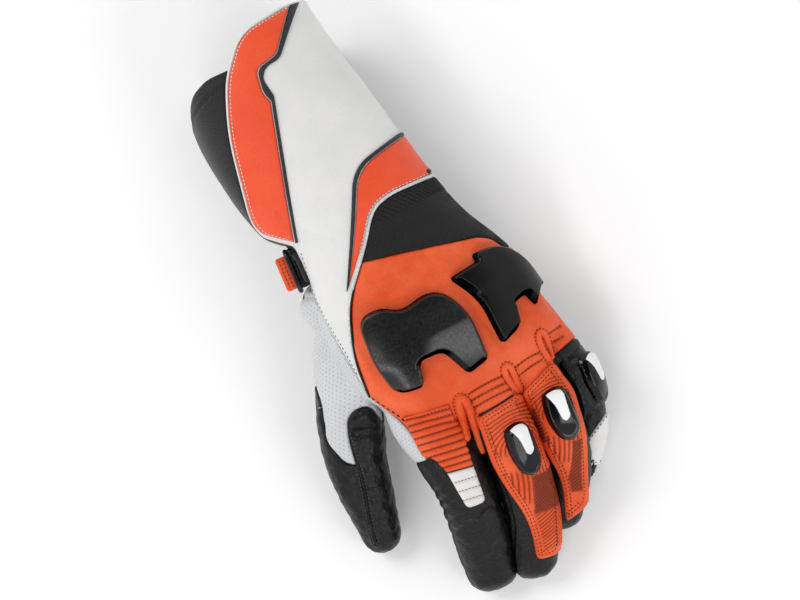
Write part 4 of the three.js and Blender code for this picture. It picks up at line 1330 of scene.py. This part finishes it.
# Each row of stitches: its pitch, the length of a stitch and the thread's radius, its thread and its slot.
STITCHES = {
    "gauntlet": (1.9, 1.3, 0.28, THREAD_WHITE, "white_leather"),
    "crease": (1.9, 1.3, 0.3, THREAD_DARK_ORANGE, "orange_leather"),
    "tongue": (2.3, 1.3, 0.24, THREAD_BLACK, "dark_piping"),
    "border": (3.1, 1.9, 0.5, THREAD_BLACK, "dark_piping"),
    "white_border": (2.4, 1.3, 0.26, THREAD_BLACK, "dark_piping"),
    "tip": (1.8, 1.3, 0.22, THREAD_RED, "white_leather"),
    "thumb": (1.9, 1.0, 0.2, THREAD_GREY, "black_leather"),
    "tab": (2.0, 1.3, 0.26, THREAD_DARK_ORANGE, "orange_leather"),
}


def stitch_mesh(rows, length, radius):
    """Thread stitches laid along rows of points with the surface's directions there."""
    turn = 2 * np.pi * np.arange(STITCH_SIDES) / STITCH_SIDES
    shape = [(-0.5 * length, 0, STITCH_END * radius)]
    for along, size, lift in STITCH_RINGS:
        x = along * length / 1.4
        shape += [(x, math.cos(t) * radius * size, (math.sin(t) * size + lift) * radius) for t in turn]
    shape.append((0.5 * length, 0, STITCH_END * radius))
    shape = np.array(shape)
    last = len(shape) - 1
    faces = []
    for k in range(STITCH_SIDES):
        after = (k + 1) % STITCH_SIDES
        faces.append([0, 1 + after, 1 + k])
        for r in range(len(STITCH_RINGS) - 1):
            a, b = 1 + r * STITCH_SIDES, 1 + (r + 1) * STITCH_SIDES
            faces.append([a + k, a + after, b + after, b + k])
        faces.append([last, last - STITCH_SIDES + k, last - STITCH_SIDES + after])
    parts = []
    for points, normals in rows:
        if len(points) < 2:
            continue
        ahead = np.gradient(points, axis=0)
        for place, out, along in zip(points, normals, ahead):
            along = along - out * (along @ out)
            along = along / (np.linalg.norm(along) + TINY)
            basis = np.stack([along, np.cross(out, along), out])
            parts.append((place + shape @ basis, faces))
    return clean(mesh_of(*joined(parts)))


def sewn(name, lines):
    """Rows of stitches. Each line is a shaped skin's tree and a plan line."""
    pitch, length, radius, look, slot_name = STITCHES[name]
    rows = [laid(tree, line, pitch) for tree, line in lines]
    piece(f"{name}_stitches", stitch_mesh(rows, length, radius), look, slot_name)


def shaped_tree(skin):
    return tree_of(skin.placed(), skin.faces)


def beside(line, distance):
    """A plan line beside another, a distance to its left."""
    line = resampled(line, FINE)
    ahead = np.gradient(line, axis=0)
    ahead /= np.linalg.norm(ahead, axis=1)[:, None]
    return line + np.stack([-ahead[:, 1], ahead[:, 0]], 1) * distance


# The white panel's borders, and along them the white piping and the black edge of the orange leather.
EDGE_THUMB = outline([
    (4, 156.5), (-22, 152, 10), (-37, 133, 8), (-46.5, 108, 14), (-53.5, 64, 8), (-50.5, 55, 3), (-38, 45)])
EDGE_WRIST = outline([
    (41, 50.2), (16, 49.5, 5), (5, 46, 9), (-4, 32, 10), (-24, 8, 10), (-32.5, -18, 12), (-33, -39)])
PIPING_END = -12
CORD_START = 14
PIPING_STEP = 0.8
PIPING_LIFT = 0.1
# A black strand along here is painted shadow, in the gap at the middle cover's top edge.
COVER_GAP_SHADOW = [(13.2, -68.2), (23, -67.4), (33.4, -65.6)]
KNOT = [(36.5, 52.6), (38.6, 53.6), (40.6, 53), (41.4, 50.8), (40.4, 48.6)]


def piping():
    """The piping and the black cords along the panels' borders, and a black strand of painted shadow at the
    middle cover's top edge.
    """
    wrist_edge = resampled(EDGE_WRIST, FINE)
    upper = wrist_edge[wrist_edge[:, 1] > PIPING_END]
    lower = wrist_edge[wrist_edge[:, 1] < CORD_START]
    rows = [
        ("thumb_edge_piping", beside(EDGE_THUMB, 0.6), 0.6, WHITE, "white_leather"),
        ("wrist_edge_piping", beside(upper, -0.7), 0.75, WHITE_PIPING, "white_leather"),
        ("back_edge_cord", beside(lower, 0.25), 0.55, EDGE_BLACK, "dark_piping"),
        # Painted shadow: a black strand in the gap at the middle cover's top edge.
        ("cover_gap_shadow_strand", smooth_line(COVER_GAP_SHADOW), 0.7, EDGE_BLACK, "dark_piping"),
    ]
    for name, line, radius, look, slot_name in rows:
        points, normals = laid(whole_tree, line, PIPING_STEP)
        piece(name, tube(relaxed(points + normals * PIPING_LIFT, 3), radius), look, slot_name)


STRAP_ROOM = ((-60, 26, -5), (20, 42.5, 56))
STRAP_END = ((-43.4, 24.4, 44.6), (-37, 45.4, 53.4))
STRAP_END_ROUND = 1.9
CLIP_RADIUS = 1.25
TAB_ROUND = 1.4


def node_box(node):
    """The low and the high corner of a solid's box in the hand's frame."""
    return [np.array(corner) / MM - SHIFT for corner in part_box(node)]


tab_box = node_box("strap_tab")


def wrist_fittings():
    """The wrist strap, its clip and its tab, and the knot of the edge binding at the other side."""
    band = Skin(carve(whole, block(*STRAP_ROOM), "INTERSECT"))
    band.rise(0.8, 2.3, 1.2, 0.4)
    piece("wrist_strap_webbing", band.solid(0.2), TEXTILE, "textile", "wrist_strap")
    piece("wrist_strap_end", rounded_box(*STRAP_END, STRAP_END_ROUND), BLACK, "textile")
    low, high = node_box("strap_clip")
    middle, half = (low + high) / 2, (high - low) / 2 - 1.2
    corners = [(side * half[1], rise * half[2], 3) for side, rise in ((-1, -1), (1, -1), (1, 1), (-1, 1))]
    frame_line = outline(corners)
    points = middle + np.column_stack([np.zeros(len(frame_line)), frame_line])
    clip = tube(resampled(points, 0.7, closed=True)[:-1], CLIP_RADIUS, closed=True)
    piece("strap_clip_frame", clip, GUARD, "guard", "strap_clip")
    piece("strap_tab_leather", rounded_box(*tab_box, TAB_ROUND), ORANGE, "orange_leather", "strap_tab")
    points, normals = laid(whole_tree, smooth_line(KNOT), FINE)
    piece("binding_knot", tube(points + normals * 0.6, 1.3), TEXTILE, "textile")


def rounded_box(low, high, radius):
    """A box with round edges."""
    low, high = np.array(low), np.array(high)
    bm = bmesh.new()
    bmesh.ops.create_cube(bm, size=1)
    for vert in bm.verts:
        vert.co = Vector((low + high) / 2 + np.array(vert.co) * (high - low))
    bmesh.ops.bevel(bm, geom=list(bm.edges), offset=radius, segments=4, profile=0.5, affect="EDGES")
    mesh = bpy.data.meshes.new("box")
    bm.to_mesh(mesh)
    bm.free()
    return clean(mesh)


fields = gauntlet_trim()
for name in GUARDS:
    knuckle_guard(name)
covers = {name: cover(name) for name in COVERS}
accordion, white_tip, little_patch = index_pieces()
for name in SLIDERS:
    slider(name)
ridges()
piping()
wrist_fittings()


ARCH_STITCHES = widened(outline(PANELS["thumb_stall"][1][:9]), 1.2)
ORANGE_BORDER = [(-31.4, -40), (-26.4, -47.6), (-21.6, -56), (-19.4, -65), (-18.4, -76)]
# The middle x and half width of the stretch that is stitched beside the thumb's leather.
ARCH_SIDE = (-51.5, 5.0)
TAB_INSET = 1.8
COVER_INSETS = (-1.5, -3.2)

# The middle of each cover along its finger: rising y, and x there.
COVER_MIDDLES = {"middle": ((-150, -110, -66), (19, 24, 24)), "ring": ((-137, -100, -58), (41, 49, 49))}


def runs(line, kept):
    """The stretches of a line whose points are kept."""
    breaks = np.flatnonzero(np.diff(kept.astype(int))) + 1
    parts = zip(np.split(line, breaks), np.split(kept, breaks))
    return [part for part, keep in parts if keep[0] and len(part) > 2]


def looped(line):
    """A closed line with its first point once more at its end."""
    return np.vstack([line, line[:1]])


def cover_seams(name):
    """Two rows round a cover. The inner one leaves out the side towards the little finger."""
    line = outline(COVERS[name])
    outer, inner = (looped(widened(line, inset)) for inset in COVER_INSETS)
    inner = resampled(inner, FINE)
    middle = np.interp(inner[:, 1], *COVER_MIDDLES[name])
    return [outer, *runs(inner, (inner[:, 0] < middle) | (inner[:, 1] > inner[:, 1].max() - 7))]


def sewing():
    """Every row of stitches."""
    trees = {name: shaped_tree(skin) for name, skin in {**panels, **fields}.items()}
    back = trees["hand_back"]
    sewn("gauntlet", [(trees["gauntlet_thumb_panel"], beside(EDGE_THUMB, 2.3)),
                      (trees["gauntlet_wrist_panel"], beside(EDGE_WRIST, -2.2))])
    creases = [(back, smooth_line(line)) for line in BACK_CREASES]
    creases += [(shaped_tree(accordion), across_index(y, -22, 3.5)) for y in ACCORDION_LINES]
    for radius, plan in LOOPS.values():
        creases += [(back, beside(smooth_line(plan), side * (radius + 0.4))) for side in (1, -1)]
    for name, skin in covers.items():
        tree = shaped_tree(skin)
        creases += [(tree, line) for line in cover_seams(name)]
    sewn("crease", creases)
    sewn("tongue", [(trees["gauntlet_back"], smooth_line(TONGUE_SEAM))])
    sewn("border", [(back, smooth_line(ORANGE_BORDER))])
    arch = ARCH_STITCHES[np.abs(ARCH_STITCHES[:, 0] - ARCH_SIDE[0]) < ARCH_SIDE[1]]
    patch = looped(widened(outline(LITTLE_PATCH), -1.3))
    sewn("white_border", [(trees["thumb_gusset"], arch), (shaped_tree(little_patch), patch)])
    sewn("tip", [(shaped_tree(white_tip), across_index(y, -11.5, 2)) for y in TIP_LINES])
    sewn("thumb", [(trees["thumb_stall"], beside(smooth_line(THUMB_SEAM), side)) for side in (1.3, -1.3)])
    low, high = tab_box
    corners = (low[:2], (high[0], low[1]), high[:2], (low[0], high[1]))
    tab = tree_of(*closed_loft(np.array([[(*corner, z) for corner in corners] for z in (low[2], high[2])])))
    sewn("tab", [(tab, [(x, low[1] + TAB_INSET), (x, high[1] - TAB_INSET)])
                 for x in (low[0] + TAB_INSET, (low[0] + high[0]) / 2)])


sewing()


# Floor, light and camera

# These are in metres, in the row's frame.
FOCUS = Vector((SHIFT[0] * MM, SHIFT[1] * MM, 45 * MM))
DISTANCE = 2.2
VIEW_WIDTH = 0.4
ROLL = math.radians(23)
FLOOR_HALF = 3.0
FLOOR_GLOW = 0.12

# Soft lights round the glove: place from the focus, sizes and power in watts.
LIGHTS = {
    "key": ((-0.9, 1.0, 1.6), (0.9, 0.9), 15),
    "left_strip": ((-0.85, -1.1, 1.6), (0.34, 1.5), 8),
    "lower_right": ((0.8, -1.3, 1.45), (1.0, 1.0), 8.5),
}

# The studio is darker right above the glove, so that its black surfaces stay deep: between these two heights
# of the sky its strength falls from the one value to the other.
DOME = {"From Min": 0.6, "From Max": 0.9, "To Min": 0.85, "To Max": 0.08}


def floor():
    mesh = bpy.data.meshes.new("floor")
    corners = [(x * FLOOR_HALF, y * FLOOR_HALF, 0) for x, y in ((-1, -1), (1, -1), (1, 1), (-1, 1))]
    mesh.from_pydata(corners, [], [(0, 1, 2, 3)])
    f = Finish("pale_floor", 0.9, {"Emission Color": (1, 1, 1, 1), "Emission Strength": FLOOR_GLOW})
    mesh.materials.append(f.finish(f.blend(f.noise(300, 2), colour("fbfbfb"), colour("f6f6f6"))))
    made = bpy.data.objects.new("floor", mesh)
    bpy.context.scene.collection.objects.link(made)


def softbox(name, place, size, power):
    """A soft light that faces the glove, its second size along the hand."""
    light = bpy.data.lights.new(name, "AREA")
    light.shape, light.size, light.size_y, light.energy = "RECTANGLE", *size, power
    made = bpy.data.objects.new(name, light)
    back = Vector(place).normalized()
    up = (Vector((0, 1, 0)) - back * back.y).normalized()
    turn = Matrix((up.cross(back), up, back)).transposed().to_4x4()
    made.matrix_world = Matrix.Translation(FOCUS + Vector(place)) @ turn
    bpy.context.scene.collection.objects.link(made)


def camera():
    data = bpy.data.cameras.new("camera")
    data.sensor_width = 36
    data.lens = data.sensor_width * DISTANCE / VIEW_WIDTH
    made = bpy.data.objects.new("camera", data)
    right = Vector((math.cos(ROLL), -math.sin(ROLL), 0))
    up = Vector((math.sin(ROLL), math.cos(ROLL), 0))
    turn = Matrix((right, up, UP)).transposed().to_4x4()
    made.matrix_world = Matrix.Translation(FOCUS + UP * DISTANCE) @ turn
    bpy.context.scene.collection.objects.link(made)
    bpy.context.scene.camera = made


def studio():
    """The light that comes from all around."""
    world = bpy.data.worlds.new("studio")
    world.use_nodes = True
    nodes, links = world.node_tree.nodes, world.node_tree.links
    background = nodes["Background"]
    background.inputs["Color"].default_value = (1, 1, 1, 1)
    split = nodes.new("ShaderNodeSeparateXYZ")
    links.new(nodes.new("ShaderNodeTexCoord").outputs["Generated"], split.inputs[0])
    dome = nodes.new("ShaderNodeMapRange")
    dome.interpolation_type = "SMOOTHSTEP"
    for socket, value in DOME.items():
        dome.inputs[socket].default_value = value
    links.new(split.outputs[2], dome.inputs["Value"])
    links.new(dome.outputs[0], background.inputs["Strength"])
    bpy.context.scene.world = world


floor()
for name, (place, size, power) in LIGHTS.items():
    softbox(name, place, size, power)
studio()
camera()
bpy.context.scene.view_settings.view_transform = "Standard"
